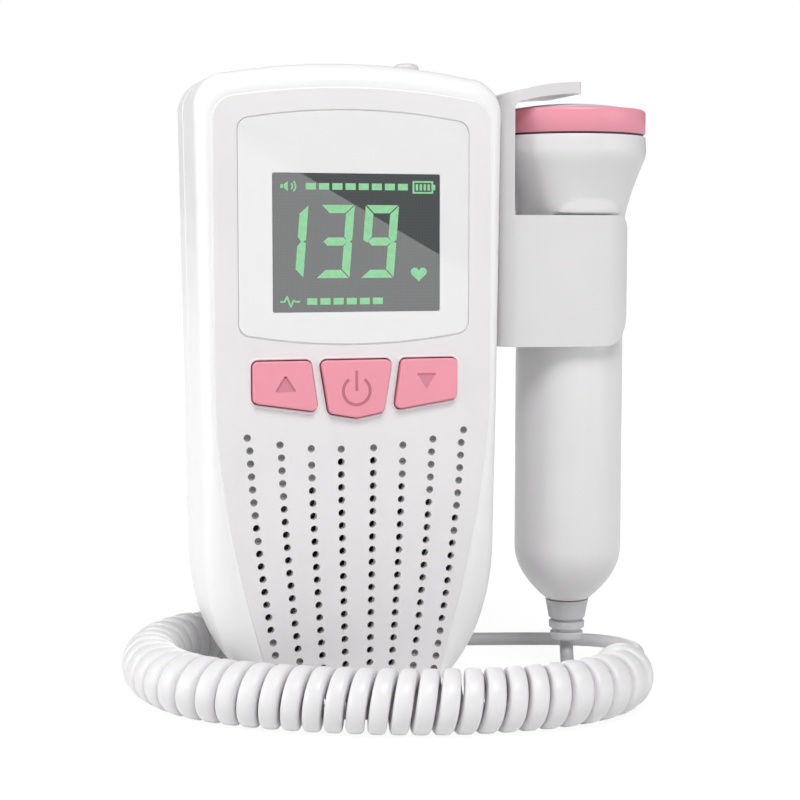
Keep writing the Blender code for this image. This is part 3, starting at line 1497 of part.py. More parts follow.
def curl_pitch(line, k):
    """Pitch at a point, wider where the coil bends so that its inner side keeps its gap."""
    reach = CURL_POINTS
    before = line[max(k - reach, 0)]
    after = line[min(k + reach, len(line) - 1)]
    one = (line[k] - before).normalized() if k else (after - line[k]).normalized()
    other = (after - line[k]).normalized() if k < len(line) - 1 else one
    bend = one.angle(other, 0) / max((after - before).length / 2, MERGE)
    inner_share = max(1 - CURL_RADIUS * bend, 0.5)
    return max(CURL_PITCH, (CORD_DIAMETER + CURL_LEAST_GAP) / inner_share)


def least_gap(points, diameter):
    """Least distance between the surfaces of stretches of a tube that lie at least half a turn apart."""
    least = UNIT_HEIGHT
    for k, point in enumerate(points):
        between = 0
        for other, following in zip(points[k:], points[k + 1 :]):
            run = following - other
            if between > 2 * diameter:
                share = min(max((point - other).dot(run) / run.length_squared, 0), 1)
                least = min(least, (point - other - run * share).length)
            between += run.length
    return least - diameter


def unit_lead_points():
    """Lead from the gland's tip, straight at first, down to the floor and on to the coil."""
    start = Vector((GLAND_X, BACK_Y + 2 * GAP + GLAND_LENGTH, GLAND_Z))
    return [start] + smooth_line(millimetres(UNIT_LEAD_ROUTE), CORD_DIAMETER * CORD_STEP_DIAMETERS)


def probe_lead_points():
    """Lead from the coil along the floor, then up a quarter turn into the strain relief."""
    points = smooth_line(millimetres(PROBE_LEAD_ROUTE), CORD_DIAMETER * CORD_STEP_DIAMETERS)
    top = RELIEF_BOTTOM - GAP
    bend = top - CORD_STRAIGHT - on_floor()
    approach = math.radians(LEAD_APPROACH_DEGREES)
    for k in range(ARC_STEPS + 1):
        angle = math.pi / 2 * (1 - k / ARC_STEPS)
        away = bend * (1 - math.cos(angle))
        x, y = PROBE_X - away * math.sin(approach), PROBE_Y - away * math.cos(approach)
        points.append(Vector((x, y, on_floor() + bend * (1 - math.sin(angle)))))
    del points[-ARC_STEPS - 2]
    return points + [Vector((PROBE_X, PROBE_Y, top))]


def cord(finish):
    points = coil_points()
    print("curls", round(len(points) / CURL_POINTS, 1), "least gap mm", round(least_gap(points, CORD_DIAMETER) * 1000, 3))
    spring = [Vector((SPRING_RADIUS, 0, 0)), Vector((SPRING_RADIUS, 0, (SPRING_HEIGHT - SPRING_WIRE) / SPRING_TURNS))]
    print("contact spring gap mm", round(((spring[1] - spring[0]).length - SPRING_WIRE) * 1000, 3))
    tube("cord_coil", points, CORD_DIAMETER, finish, resolution=1)
    tube("cord_unit_lead", unit_lead_points(), CORD_DIAMETER, finish)
    tube("cord_probe_lead", probe_lead_points(), CORD_DIAMETER, finish)


def build():
    clear_scene()
    white = material("white_plastic", (0.86, 0.85, 0.86), 0.35)
    pink = material("pink_rubber", (0.86, 0.33, 0.42), 0.45)
    grey = material("grey_rubber", (0.5, 0.5, 0.51), 0.6)
    cream = material("cord_sleeve", (0.84, 0.83, 0.84), 0.5)
    glass = material("clear_lens", (0.8, 0.8, 0.8), 0.1)
    screen = material("lcd_glass", (0.07, 0.08, 0.08), 0.15)
    black = material("black_plastic", (0.03, 0.03, 0.03), 0.5)
    green = material("circuit_board", (0.05, 0.25, 0.1), 0.5)
    steel = material("steel", (0.55, 0.55, 0.56), 0.3, 1)
    paper = material("cone_paper", (0.12, 0.11, 0.1), 0.8)
    ceramic = material("crystal_ceramic", (0.6, 0.55, 0.45), 0.5)
    foil = material("cell_foil", (0.35, 0.3, 0.15), 0.35, 1)

    front_housing(white)
    rear_housing(white)
    battery_door(white)
    display(glass, screen, black)
    main_board(green)
    outlines = key_outlines()
    for name, outline in outlines.items():
        key(name, outline, pink)
        key_switch(name.replace("button", "switch"), middle_of(outline), black)
    speaker(black, paper, steel)
    batteries(foil, steel)
    screws(steel)
    headphone_parts(black, grey)
    cord_gland(grey)
    probe_body(white)
    probe_head(pink, white, ceramic, black)
    probe_board(green)
    strain_relief(grey)
    probe_holder(white)
    clip_arm("clip_arm_front", -1, HOLDER_FRONT, white)
    clip_arm("clip_arm_rear", 1, HOLDER_BACK, white)
    cord(cream)


build()
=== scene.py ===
import math

import bmesh
import bpy
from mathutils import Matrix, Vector


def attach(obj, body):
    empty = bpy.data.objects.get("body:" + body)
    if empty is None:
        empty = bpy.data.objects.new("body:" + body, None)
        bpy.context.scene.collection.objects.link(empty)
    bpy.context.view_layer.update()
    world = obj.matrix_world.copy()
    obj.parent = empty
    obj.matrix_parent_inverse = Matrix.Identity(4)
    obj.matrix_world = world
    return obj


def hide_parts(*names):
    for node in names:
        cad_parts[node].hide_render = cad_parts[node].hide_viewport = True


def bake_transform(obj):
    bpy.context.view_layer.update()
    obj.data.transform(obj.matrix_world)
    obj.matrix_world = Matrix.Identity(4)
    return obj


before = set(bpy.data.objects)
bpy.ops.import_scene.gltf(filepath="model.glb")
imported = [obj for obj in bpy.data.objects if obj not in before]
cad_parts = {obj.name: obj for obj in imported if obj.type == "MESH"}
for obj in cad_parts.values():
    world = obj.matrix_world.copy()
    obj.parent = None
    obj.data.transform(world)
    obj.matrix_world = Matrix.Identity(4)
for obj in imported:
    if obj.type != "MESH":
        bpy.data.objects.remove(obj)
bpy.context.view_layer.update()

# Sizes that several pieces share. Lengths are in millimetres, and piece() turns them into metres.

MM = 0.001
UNIT_HEIGHT = 135.0
FRONT = -13.5
BACK = 13.5
PARTING = 1.9
PROBE_X = 53.9
HANDLE_RADIUS = 12.05
CAMERA = Vector((-98.5, -367.6, 97.7))

# Shader nodes


def new_material(name):
    made = bpy.data.materials.new(name)
    made.use_nodes = True
    return made, made.node_tree.nodes["Principled BSDF"]


def fill(node, inputs):
    """Sets inputs of a node; each is a value, or a socket to link from."""
    for name, value in inputs.items():
        if isinstance(value, bpy.types.NodeSocket):
            node.id_data.links.new(value, node.inputs[name])
        else:
            node.inputs[name].default_value = value


def add_node(near, kind, inputs, **settings):
    """New node in the same tree as another one."""
    made = near.id_data.nodes.new("ShaderNode" + kind)
    for name, value in settings.items():
        setattr(made, name, value)
    fill(made, inputs)
    return made


def coordinates(near):
    return add_node(near, "TexCoord", {}).outputs["Object"]


def noise(near, scale, detail):
    inputs = {"Vector": coordinates(near), "Scale": scale, "Detail": detail}
    return add_node(near, "TexNoise", inputs).outputs["Fac"]


def scaled(colour, share):
    return tuple(min(c * share, 1) for c in colour)


def ramp(near, source, low, high, start=0.35, end=0.65):
    made = add_node(near, "ValToRGB", {"Fac": source})
    for element, position, colour in zip(made.color_ramp.elements, (start, end), (low, high)):
        element.position = position
        element.color = (*colour, 1)
    return made.outputs["Color"]


def value_range(near, source, low, high, start=0.3, end=0.7):
    inputs = {"Value": source, "From Min": start, "From Max": end, "To Min": low, "To Max": high}
    return add_node(near, "MapRange", inputs).outputs["Result"]


def uneven(near, source, roughness):
    return value_range(near, source, roughness * 0.9, roughness * 1.1)


def grain_normal(near, height, strength):
    inputs = {"Height": height, "Strength": strength, "Distance": 0.1 * MM}
    return add_node(near, "Bump", inputs).outputs["Normal"]


def math_node(near, operation, one, other):
    return add_node(near, "Math", {0: one, 1: other}, operation=operation).outputs["Value"]


# Materials


def moulded(name, colour, roughness, grain=4200.0, bump=0.03, variation=0.015, metallic=0.0):
    """Moulded plastic or rubber: a fine surface grain, uneven gloss and a slight drift of colour."""
    made, shader = new_material(name)
    drift = noise(shader, 45.0, 2.0)
    fill(shader, {
        "Base Color": ramp(shader, drift, scaled(colour, 1 - variation), scaled(colour, 1 + variation)),
        "Roughness": uneven(shader, drift, roughness),
        "Normal": grain_normal(shader, noise(shader, grain, 2.0), bump),
        "Metallic": metallic,
    })
    return made


def painted_shade_ramp(name, near, far, start, end, roughness):
    """Cord sleeve that goes from one tone to another along the object's Y axis, with a fine grain; the
    darker tone is painted shade.
    """
    made, shader = new_material(name)
    split = add_node(shader, "SeparateXYZ", {"Vector": coordinates(shader)})
    share = value_range(shader, split.outputs["Y"], 0.0, 1.0, start, end)
    fine = noise(shader, CORD_GRAIN, 2.0)
    fill(shader, {
        "Base Color": ramp(shader, share, near, far, 0.0, 1.0),
        "Roughness": uneven(shader, fine, roughness),
        "Normal": grain_normal(shader, fine, 0.05),
    })
    return made


def glowing(name, colour, strength):
    """Lit display segment with a slightly uneven glow."""
    made, shader = new_material(name)
    drift = noise(shader, 900.0, 1.0)
    fill(shader, {
        "Emission Color": ramp(shader, drift, scaled(colour, 0.93), colour),
        "Emission Strength": strength,
        "Base Color": ramp(shader, drift, scaled(colour, 0.2), scaled(colour, 0.25)),
        "Roughness": 0.25,
    })
    return made


def lit_screen(name, colour):
    """Dark display glass with a faint dot matrix under a glossy front."""
    made, shader = new_material(name)
    inputs = {"Vector": coordinates(shader), "Scale": 1500.0, "Randomness": 0.0}
    dots = add_node(shader, "TexVoronoi", inputs).outputs["Distance"]
    fill(shader, {
        "Base Color": ramp(shader, dots, colour, scaled(colour, 1.12), 0.2, 0.6),
        "Roughness": value_range(shader, noise(shader, 60.0, 3.0), 0.0, 0.008),
    })
    return made


def plated_metal(name, colour, roughness):
    """Plated metal with fine drawing lines."""
    made, shader = new_material(name)
    stretch = add_node(shader, "Mapping", {"Vector": coordinates(shader), "Scale": (2600.0, 300.0, 300.0)})
    lines = add_node(shader, "TexNoise", {"Vector": stretch.outputs["Vector"], "Scale": 1.0}).outputs["Fac"]
    fill(shader, {
        "Base Color": ramp(shader, lines, scaled(colour, 0.9), colour),
        "Roughness": value_range(shader, lines, roughness * 0.8, roughness * 1.3),
        "Metallic": 1.0,
    })
    return made


CORD_GRAIN = 2500.0
PINK = (0.88, 0.325, 0.41)
PALE_CORD = (0.8, 0.79, 0.8)

BODY = moulded("body_white", (0.9, 0.895, 0.9), 0.36)
# The face's white is a greyer copy of the case's white on the same part: painted shade.
FACE_PAINTED_SHADE_WHITE = moulded("face_painted_shade_white", (0.815, 0.8, 0.81), 0.45, bump=0.05)
LENS = moulded("lens_white", (0.83, 0.825, 0.83), 0.03, bump=0.0, variation=0.006)
fill(LENS.node_tree.nodes["Principled BSDF"], {"Specular IOR Level": 0.16})
SCREEN = lit_screen("screen_glass", (0.075, 0.082, 0.083))
SEGMENT = glowing("segment_green", (0.26, 0.62, 0.32), 0.82)
KEY_PINK = moulded("key_pink", PINK, 0.5, grain=3000.0, bump=0.05)
SYMBOL_PINK = moulded("symbol_pink", (0.56, 0.165, 0.225), 0.55, bump=0.05, variation=0.03)
SYMBOL_PALE = moulded("symbol_pale", (0.68, 0.235, 0.31), 0.55, bump=0.05, variation=0.03)
RING_PINK = moulded("ring_pink", PINK, 0.38, variation=0.02)
# Probe white: the same white plastic, made darker than the case's as painted shade.
PROBE_PAINTED_SHADE_WHITE = moulded("probe_painted_shade_white", (0.78, 0.77, 0.78), 0.36)
# Clip white: the same white plastic, made darker still as painted shade; the jack cover's plug takes it
# too.
CLIP_PAINTED_SHADE_WHITE = moulded("clip_painted_shade_white", (0.72, 0.71, 0.717), 0.4)
RELIEF_GREY = moulded("relief_grey", (0.64, 0.63, 0.65), 0.5, CORD_GRAIN, bump=0.08)
CORD_WHITE = moulded("cord_white", PALE_CORD, 0.4, CORD_GRAIN, bump=0.05)
# Grey of the probe's cord: painted shade on a pale cord.
CORD_PAINTED_SHADE_GREY = moulded("cord_painted_shade_grey", (0.42, 0.415, 0.425), 0.45, CORD_GRAIN, bump=0.05)
# The unit's lead goes from the pale cord near the coil to grey behind the case: the grey is painted shade.
CORD_PAINTED_SHADE_RAMP = painted_shade_ramp("cord_painted_shade_ramp", PALE_CORD, (0.56, 0.555, 0.565), 9 * MM, 24 * MM, 0.42)
DARK = moulded("dark_plastic", (0.045, 0.045, 0.047), 0.55, bump=0.15, variation=0.1)
GRILLE_DARK = moulded("speaker_cloth", (0.06, 0.06, 0.06), 0.85, grain=6000.0, bump=0.6, variation=0.3)
# Grey of the blind holes: painted shade in the hollows of the white face.
BLIND_HOLE_PAINTED_SHADE = moulded("blind_hole_painted_shade", (0.36, 0.355, 0.36), 0.6, variation=0.05)
STEEL = plated_metal("plated_steel", (0.56, 0.56, 0.57), 0.28)
BOARD = moulded("circuit_board", (0.03, 0.2, 0.08), 0.35, grain=800.0, bump=0.2, variation=0.2)
CERAMIC = moulded("crystal_ceramic", (0.62, 0.56, 0.44), 0.6, variation=0.08)
FOIL = moulded("cell_foil", (0.42, 0.33, 0.12), 0.3, variation=0.12, metallic=0.9)

# Outlines


def box(left, low, right, high):
    return [(left, low), (right, low), (right, high), (left, high)]


def arc(x, z, radius, start, end, steps):
    angles = [math.radians(start + (end - start) * k / steps) for k in range(steps + 1)]
    return [(x + radius * math.cos(a), z + radius * math.sin(a)) for a in angles]


def circle(x, z, radius, sides):
    return arc(x, z, radius, 0, 360, sides)[:-1]


def signed_area(outline):
    return sum(a[0] * b[1] - b[0] * a[1] for a, b in zip(outline, outline[1:] + outline[:1])) / 2


def offset(outline, distance):
    """Convex outline moved inwards by a distance, or outwards by a negative one."""
    turn = 1 if signed_area(outline) < 0 else -1
    moved = []
    for (a, b), (x, z), (c, d) in zip(outline[-1:] + outline[:-1], outline, outline[1:] + outline[:1]):
        back = Vector((x - a, z - b)).normalized()
        ahead = Vector((c - x, d - z)).normalized()
        normal = Vector((back.y + ahead.y, -back.x - ahead.x)).normalized() * turn
        reach = distance / max(abs(normal.dot(Vector((back.y, -back.x)))), 0.5)
        moved.append((x + normal.x * reach, z + normal.y * reach))
    return moved


def rounded(corners, radius, steps=8):
    """Convex polygon with its corners rounded; radius is one number or one per corner."""
    turn = -1 if signed_area(corners) < 0 else 1
    sizes = radius if isinstance(radius, list) else [radius] * len(corners)
    points = []
    for k, (corner, size) in enumerate(zip(corners, sizes)):
        here = Vector(corner)
        back = (Vector(corners[k - 1]) - here).normalized()
        ahead = (Vector(corners[(k + 1) % len(corners)]) - here).normalized()
        half = back.angle(ahead) / 2
        middle = here + (back + ahead).normalized() * size / math.sin(half)
        first = here + back * size / math.tan(half) - middle
        for step in range(steps + 1):
            angle = turn * (math.pi - 2 * half) * step / steps
            points.append((middle.x + first.x * math.cos(angle) - first.y * math.sin(angle),
                           middle.y + first.x * math.sin(angle) + first.y * math.cos(angle)))
    return points


def blended(one, other, share):
    return [(a[0] + (b[0] - a[0]) * share, a[1] + (b[1] - a[1]) * share) for a, b in zip(one, other)]


def mirrored(half):
    return half + [(-x, z) for x, z in reversed(half[1:-1])]


def thick_line(start, end, width, past=0.0):
    """Straight stroke, run past both ends by a share of half its width."""
    start, end = Vector(start), Vector(end)
    run = (end - start).normalized() * width / 2
    across = Vector((-run.y, run.x))
    start -= run * past
    end += run * past
    return [start + across, end + across, end - across, start - across]


def eased(value):
    value = min(max(value, 0), 1)
    return value * value * (3 - 2 * value)


def quarter(steps):
    """Angles of a quarter turn, with both ends."""
    return [math.pi / 2 * k / steps for k in range(steps + 1)]


# Meshes


def at_level(outline, level, axis="Y"):
    """Outline laid across an axis at a level, as points in space."""
    place = "XYZ".index(axis)
    return [(*point[:place], level, *point[place:]) for point in outline]


def add_rings(bm, rings, closed=False, material=0):
    """Skin over rings of points. It ends in caps or, when closed, runs back into its start."""
    loops = [[bm.verts.new(point) for point in ring] for ring in rings]
    faces = []
    for one, other in zip(loops, loops[1:] + (loops[:1] if closed else [])):
        for k in range(len(one)):
            following = (k + 1) % len(one)
            faces.append(bm.faces.new((one[k], one[following], other[following], other[k])))
    if not closed:
        faces += [bm.faces.new(loops[0][::-1]), bm.faces.new(loops[-1])]
    for face in faces:
        face.material_index = material
    return faces


def add_prism(bm, outline, low, high, axis="Y", material=0):
    add_rings(bm, [at_level(outline, level, axis) for level in (low, high)], material=material)


def prisms(outlines, low, high, axis="Y"):
    """Mesh of outlines drawn out between the same two levels."""
    bm = bmesh.new()
    for outline in outlines:
        add_prism(bm, outline, low, high, axis)
    return bm


def add_turned(bm, profile, axis, centre, steps, closed=False):
    """Profile of (radius, height) turned round Y or Z. Points at radius 0 become one vertex."""
    one, two, along = [Vector(v) for v in {
        "Y": ((1, 0, 0), (0, 0, 1), (0, 1, 0)),
        "Z": ((1, 0, 0), (0, 1, 0), (0, 0, 1)),
    }[axis]]
    rings = []
    for radius, height in profile:
        ring = []
        for k in range(steps if radius else 1):
            angle = 2 * math.pi * k / steps
            ring.append(bm.verts.new(Vector(centre) + one * radius * math.cos(angle)
                                     + two * radius * math.sin(angle) + along * height))
        rings.append(ring)
    for low, high in zip(rings, rings[1:] + (rings[:1] if closed else [])):
        for k in range(steps):
            following = (k + 1) % steps
            if len(low) == 1:
                bm.faces.new((low[0], high[following], high[k]))
            elif len(high) == 1:
                bm.faces.new((low[k], low[following], high[0]))
            else:
                bm.faces.new((low[k], low[following], high[following], high[k]))


def piece(name, bm, *materials):
    """Object of a mesh that was drawn in millimetres."""
    bmesh.ops.recalc_face_normals(bm, faces=bm.faces)
    for vertex in bm.verts:
        vertex.co *= MM
    mesh = bpy.data.meshes.new(name)
    bm.to_mesh(mesh)
    bm.free()
    for material in materials:
        mesh.materials.append(material)
    made = bpy.data.objects.new(name, mesh)
    bpy.context.scene.collection.objects.link(made)
    return made


def turned(name, profile, axis, centre, material, steps, closed=False):
    bm = bmesh.new()
    add_turned(bm, profile, axis, centre, steps, closed)
    return piece(name, bm, material)


def cut(target, cutters):
    """Applies a Boolean difference and removes the cutters."""
    made = piece("cutter", cutters)
    step = target.modifiers.new("cut", "BOOLEAN")
    step.operation = "DIFFERENCE"
    step.solver = "EXACT"
    step.object = made
    bpy.context.view_layer.update()
    evaluated = target.evaluated_get(bpy.context.evaluated_depsgraph_get())
    mesh = bpy.data.meshes.new_from_object(evaluated)
    target.modifiers.remove(step)
    target.data = mesh
    bpy.data.objects.remove(made, do_unlink=True)


def shade(made, angle=38.0, weighted=False):
    """Smooth shading with sharp edges past an angle."""
    made.data.shade_smooth()
    made.data.set_sharp_from_angle(angle=math.radians(angle))
    if weighted:
        made.modifiers.new("normals", "WEIGHTED_NORMAL").keep_sharp = True
    return made


def bevel(made, width, segments=2, angle=30.0, harden=False):
    """Small bevels on the edges past an angle."""
    step = made.modifiers.new("edge", "BEVEL")
    step.width = width * MM
    step.segments = segments
    step.limit_method = "ANGLE"
    step.angle_limit = math.radians(angle)
    step.harden_normals = harden
    return made


def own(made, body, slot, *replaced):
    """Puts a piece on a body, in place of the CAD nodes that it stands for."""
    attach(made, body)
    if replaced:
        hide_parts(*replaced)


# Camera


def add_camera():
    data = bpy.data.cameras.new("photo_camera")
    data.lens = 78.75
    data.sensor_width = 36.0
    data.clip_start = 0.01
    made = bpy.data.objects.new("photo_camera", data)
    made.location = CAMERA * MM
    made.rotation_euler = (math.radians(84.87), 0, math.radians(-17.0))
    bpy.context.scene.collection.objects.link(made)
    bpy.context.scene.camera = made


# Cord. Its routes are those of part.py.

CORD_DIAMETER = 3.1
CORD_RADIUS = CORD_DIAMETER / 2
CORD_FLOOR = CORD_RADIUS + 0.1
CORD_STEP = 1.2
CURL_RADIUS = 5.05
CURL_PITCH = 4.3
CURL_LEAST_GAP = 0.62
CURL_FADE = 11.0
CURL_END_PITCH = 7.8
CURL_POINTS = 24
COIL_THICK = 1.88
COIL_RADIUS = 4.75
STRAND_LEAST, STRAND_MOST = 1.65, 2.5

UNIT_LEAD_ROUTE = [
    (4.0, 21.4, 10.0), (4.3, 25.0, 8.5), (5.9, 28.4, 5.6), (9.0, 31.0, 3.2), (13.8, 32.4, 1.9),
    (20.5, 32.6), (28.0, 31.3), (36.7, 29.3), (46.0, 26.8), (55.0, 24.2), (62.5, 21.6), (69.0, 18.0),
    (73.2, 12.8), (74.2, 6.5), (72.0, 0.5), (67.5, -4.5), (61.4, -8.6), (57.4, -12.6), (56.4, -15.6),
    (56.07, -17.2),
]
COIL_ROUTE = [
    (56.0, -17.5), (54.8, -22.5), (54.3, -28.0), (52.6, -34.0), (48.6, -39.3), (41.5, -43.2),
    (31.5, -45.2), (15.0, -44.5), (0.0, -40.5), (-15.0, -33.5), (-27.0, -25.8), (-35.6, -16.8),
    (-40.1, -6.3), (-40.9, 4.3), (-38.0, 13.9), (-32.5, 21.6), (-25.6, 26.8), (-18.0, 29.2),
    (-13.5, 29.8),
]
PROBE_LEAD_ROUTE = [
    (-13.2, 29.84), (-8.4, 30.2), (-3.8, 28.6), (-1.0, 24.6), (-2.4, 20.0), (-6.8, 17.6),
    (-13.0, 16.8), (-20.0, 15.0), (-25.6, 10.5), (-28.2, 3.5), (-28.4, -4.5), (-26.4, -12.5),
    (-20.8, -19.2), (-11.5, -24.8), (0.0, -29.2), (12.5, -32.4), (24.5, -33.4), (35.0, -31.2),
    (43.2, -25.4), (48.2, -18.2), (50.9, -10.6), (52.3, -5.3),
]


def smooth_line(route, step):
    """Curve through the route's points, as points spaced evenly near a step."""
    dense = []
    ends = [route[0] * 2 - route[1]] + route + [route[-1] * 2 - route[-2]]
    for before, one, other, after in zip(ends, ends[1:], ends[2:], ends[3:]):
        for k in range(16):
            t = k / 16
            dense.append((one * 2 + (other - before) * t + (before * 2 - one * 5 + other * 4 - after) * t**2
                          + (one * 3 - before - other * 3 + after) * t**3) / 2)
    dense.append(route[-1])
    total = sum((b - a).length for a, b in zip(dense, dense[1:]))
    count = max(round(total / step), 2)
    want = total / count
    spaced = [dense[0].copy()]
    gone = 0
    for a, b in zip(dense, dense[1:]):
        length = (b - a).length
        while len(spaced) < count and gone + length >= want * len(spaced) - 1e-6:
            spaced.append(a.lerp(b, (want * len(spaced) - gone) / length))
        gone += length
    spaced.append(dense[-1].copy())
    return spaced


def lead_line(route):
    """Even points of a lead; a point without a height lies on the floor."""
    return smooth_line([Vector((*point, CORD_FLOOR)[:3]) for point in route], CORD_STEP)


def strand_half_width(centre, room):
    """The strands fill the room between curls, and leave a little of it open along the front."""
    open_front = eased((-centre.y - 12) / 20) * eased((48 - centre.x) / 25)
    return min(max((0.487 - 0.056 * open_front) * room, STRAND_LEAST), STRAND_MOST)


def coil_points():
    """The helix of part.py on the same middle line, with more points to a curl.

    Each entry is (point, direction away from the coil's middle line, half the strand's width along the
    coil, share of the full curl).
    """
    line = smooth_line([Vector((x, y, 0)) for x, y in COIL_ROUTE], CURL_PITCH / 48)
    last = len(line) - 1
    lengths = [0]
    for a, b in zip(line, line[1:]):
        lengths.append(lengths[-1] + (b - a).length)
    curls = 0
    wanted = 0
    entries = []
    reach = 24
    for k, here in enumerate(line):
        low, high = max(k - reach, 0), min(k + reach, last)
        ahead = (line[min(k + 4, last)] - line[max(k - 4, 0)]).normalized()
        side = Vector((-ahead.y, ahead.x, 0))
        share = eased((min(lengths[k], lengths[-1] - lengths[k]) - CORD_DIAMETER) / CURL_FADE)
        before = (here - line[low]) if k > low else ahead
        after = (line[high] - here) if high > k else ahead
        half = max((line[high] - line[low]).length / 2, 1e-6)
        bend = before.normalized().angle(after.normalized(), 0) / half
        way = 1 if before.cross(after).z > 0 else -1
        full = max(CURL_PITCH, (CORD_DIAMETER + CURL_LEAST_GAP) / max(1 - CURL_RADIUS * bend, 0.5))
        pitch = CURL_END_PITCH + (full - CURL_END_PITCH) * share
        if k:
            curls += (lengths[k] - lengths[k - 1]) / pitch
        if curls < wanted - 1e-6 and k < last:
            continue
        radius = COIL_RADIUS * share
        centre = here + Vector((0, 0, CORD_FLOOR + (COIL_THICK - CORD_RADIUS) * share + radius))
        angle = -2 * math.pi * curls
        out = side * math.cos(angle) + Vector((0, 0, math.sin(angle)))
        wide = strand_half_width(centre, pitch * (1 - way * bend * radius * math.cos(angle)))
        entries.append((centre + out * radius, out, CORD_RADIUS + (wide - CORD_RADIUS) * share, share))
        wanted += 1 / CURL_POINTS
    return entries


def probe_lead_points():
    """Lead along the floor, and then up into the strain relief on a quarter turn."""
    top = 7.7
    bend = top - 0.5 - CORD_FLOOR
    approach = math.radians(17)
    arch = []
    for angle in quarter(12)[::-1]:
        away = bend * (1 - math.cos(angle))
        arch.append(Vector((PROBE_X - away * math.sin(approach), -away * math.cos(approach),
                            CORD_FLOOR + bend * (1 - math.sin(angle)))))
    return lead_line(PROBE_LEAD_ROUTE)[:-1] + arch + [Vector((PROBE_X, 0, top))]


def tangents(points):
    last = len(points) - 1
    return [(points[min(k + 1, last)] - points[max(k - 1, 0)]).normalized() for k in range(last + 1)]


def ring_round(point, one, other, thick, wide, sides, square=0.0):
    """Ring round a point; square goes from 0 for an ellipse towards a rounded rectangle."""
    power = 1 - 0.42 * square
    ring = []
    for j in range(sides):
        c, s = math.cos(2 * math.pi * j / sides), math.sin(2 * math.pi * j / sides)
        ring.append(point + one * thick * math.copysign(abs(c) ** power, c)
                    + other * wide * math.copysign(abs(s) ** power, s))
    return ring


def round_rings(points, along, normal, sides):
    """Rings of the plain cord along points, by parallel transport from a first normal."""
    rings = []
    for point, tangent in zip(points, along):
        normal = (normal - tangent * normal.dot(tangent)).normalized()
        rings.append(ring_round(point, normal, tangent.cross(normal), CORD_RADIUS, CORD_RADIUS, sides))
    return rings


def add_curled_tube(bm, lead, coil, sides=20):
    """Plain lead that runs on into the coil, whose strands lie flattened against each other."""
    points = lead + [entry[0] for entry in coil[1:]]
    along = tangents(points)
    plain = len(lead) - 1
    rings = []
    for (point, out, wide, share), tangent in zip(coil, along[plain:]):
        normal = (out - tangent * out.dot(tangent)).normalized()
        if not rings:
            first = normal
        thick = CORD_RADIUS + (COIL_THICK - CORD_RADIUS) * share
        rings.append(ring_round(point, normal, tangent.cross(normal), thick, wide, sides, share))
    rings = round_rings(lead[:plain][::-1], along[:plain][::-1], first, sides)[::-1] + rings
    # The plain lead takes the second material, whose grey part is painted shade.
    for face in add_rings(bm, rings)[:plain * sides]:
        face.material_index = 1
    return points


def add_cords():
    lead = [Vector((4.0, 18.3, 10.0))] + lead_line(UNIT_LEAD_ROUTE)
    bm = bmesh.new()
    whole = add_curled_tube(bm, lead, coil_points())
    main = shade(piece("curly_cord", bm, CORD_WHITE, CORD_PAINTED_SHADE_RAMP), 60)
    own(main, "unit", "cord_sleeve", "cord_unit_lead", "cord_coil")
    tail = probe_lead_points()
    along = tangents(tail)
    bm = bmesh.new()
    add_rings(bm, round_rings(tail, along, along[0].orthogonal().normalized(), 16))
    # The probe's cord is pale like the coil; its grey is painted shade.
    end = shade(piece("probe_cord", bm, CORD_PAINTED_SHADE_GREY))
    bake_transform(end)
    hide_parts("cord_probe_lead")


# Housing

FOOT_ROUND = 33.0
SIDE_FOOT = 5.6
FACE_HALF = 30.1
FACE_STRAIGHT = 66.0
LENS_HALF, LENS_FOOT, LENS_TOP = 24.9, 76.6, 125.1
WINDOW = (-17.7, 83.3, 18.6, 112.1)
BOSSES = [(-24.5, 122.5), (24.5, 122.5), (-19.5, 12.5), (19.5, 12.5)]
HOLE_RADIUS = 0.78
WALL = 2.0


def body_half_width(z):
    if z >= FOOT_ROUND:
        return 32.1 + 1.3 * min((z - FOOT_ROUND) / 94.5, 1)
    drop = 1 - z / FOOT_ROUND
    return 12.0 + 20.1 * math.sqrt(max(1 - drop * drop, 0))


def face_half_width(z):
    return FACE_HALF - 11.2 * (max(FACE_STRAIGHT - z, 0) / 60.4) ** 1.67


def arched_half(top, half_width, corner, drop, steps=20, turns=10):
    """Right half of an arched top with a round corner; drop is the arch's fall at its full width."""
    flat = half_width - corner
    places = [flat * k / steps for k in range(steps + 1)]
    points = [(x, top - drop * (x / half_width) ** 2) for x in places]
    return points + arc(flat, points[-1][1] - corner, corner, 90, 0, turns)[1:]


def side_points(top, width_at, rows=60):
    """Points down an outline's side, closer together where the side begins."""
    levels = [top + (SIDE_FOOT - top) * (k / rows) ** 0.85 for k in range(1, rows + 1)]
    return [(width_at(z), z) for z in levels]


def body_outline():
    half = arched_half(UNIT_HEIGHT, 33.4, 7.5, 3.9)
    half += side_points(half[-1][1], body_half_width)
    start = math.acos(1 - SIDE_FOOT / FOOT_ROUND)
    for k in range(1, 13):
        z = FOOT_ROUND * (1 - math.cos(start * (1 - k / 12)))
        half.append((body_half_width(z), z))
    return mirrored(half + [(6.0, 0), (0, 0)])


def face_outline():
    corner = 3.0
    half = arched_half(129.9, FACE_HALF, 5.0, 2.9)
    half += side_points(half[-1][1], face_half_width)
    low = half[-1][0] - corner
    half += arc(low, SIDE_FOOT, corner, 0, -90, 12)[1:]
    return mirrored(half + [(low / 2, SIDE_FOOT - corner), (0, SIDE_FOOT - corner)])


def lens_outline(grow=0.0):
    half = arched_half(LENS_TOP, LENS_HALF, 2.6, 2.3, 16, 8)
    half += [(x, LENS_TOP + LENS_FOOT - z) for x, z in reversed(half)]
    return offset(mirrored(half), -grow)


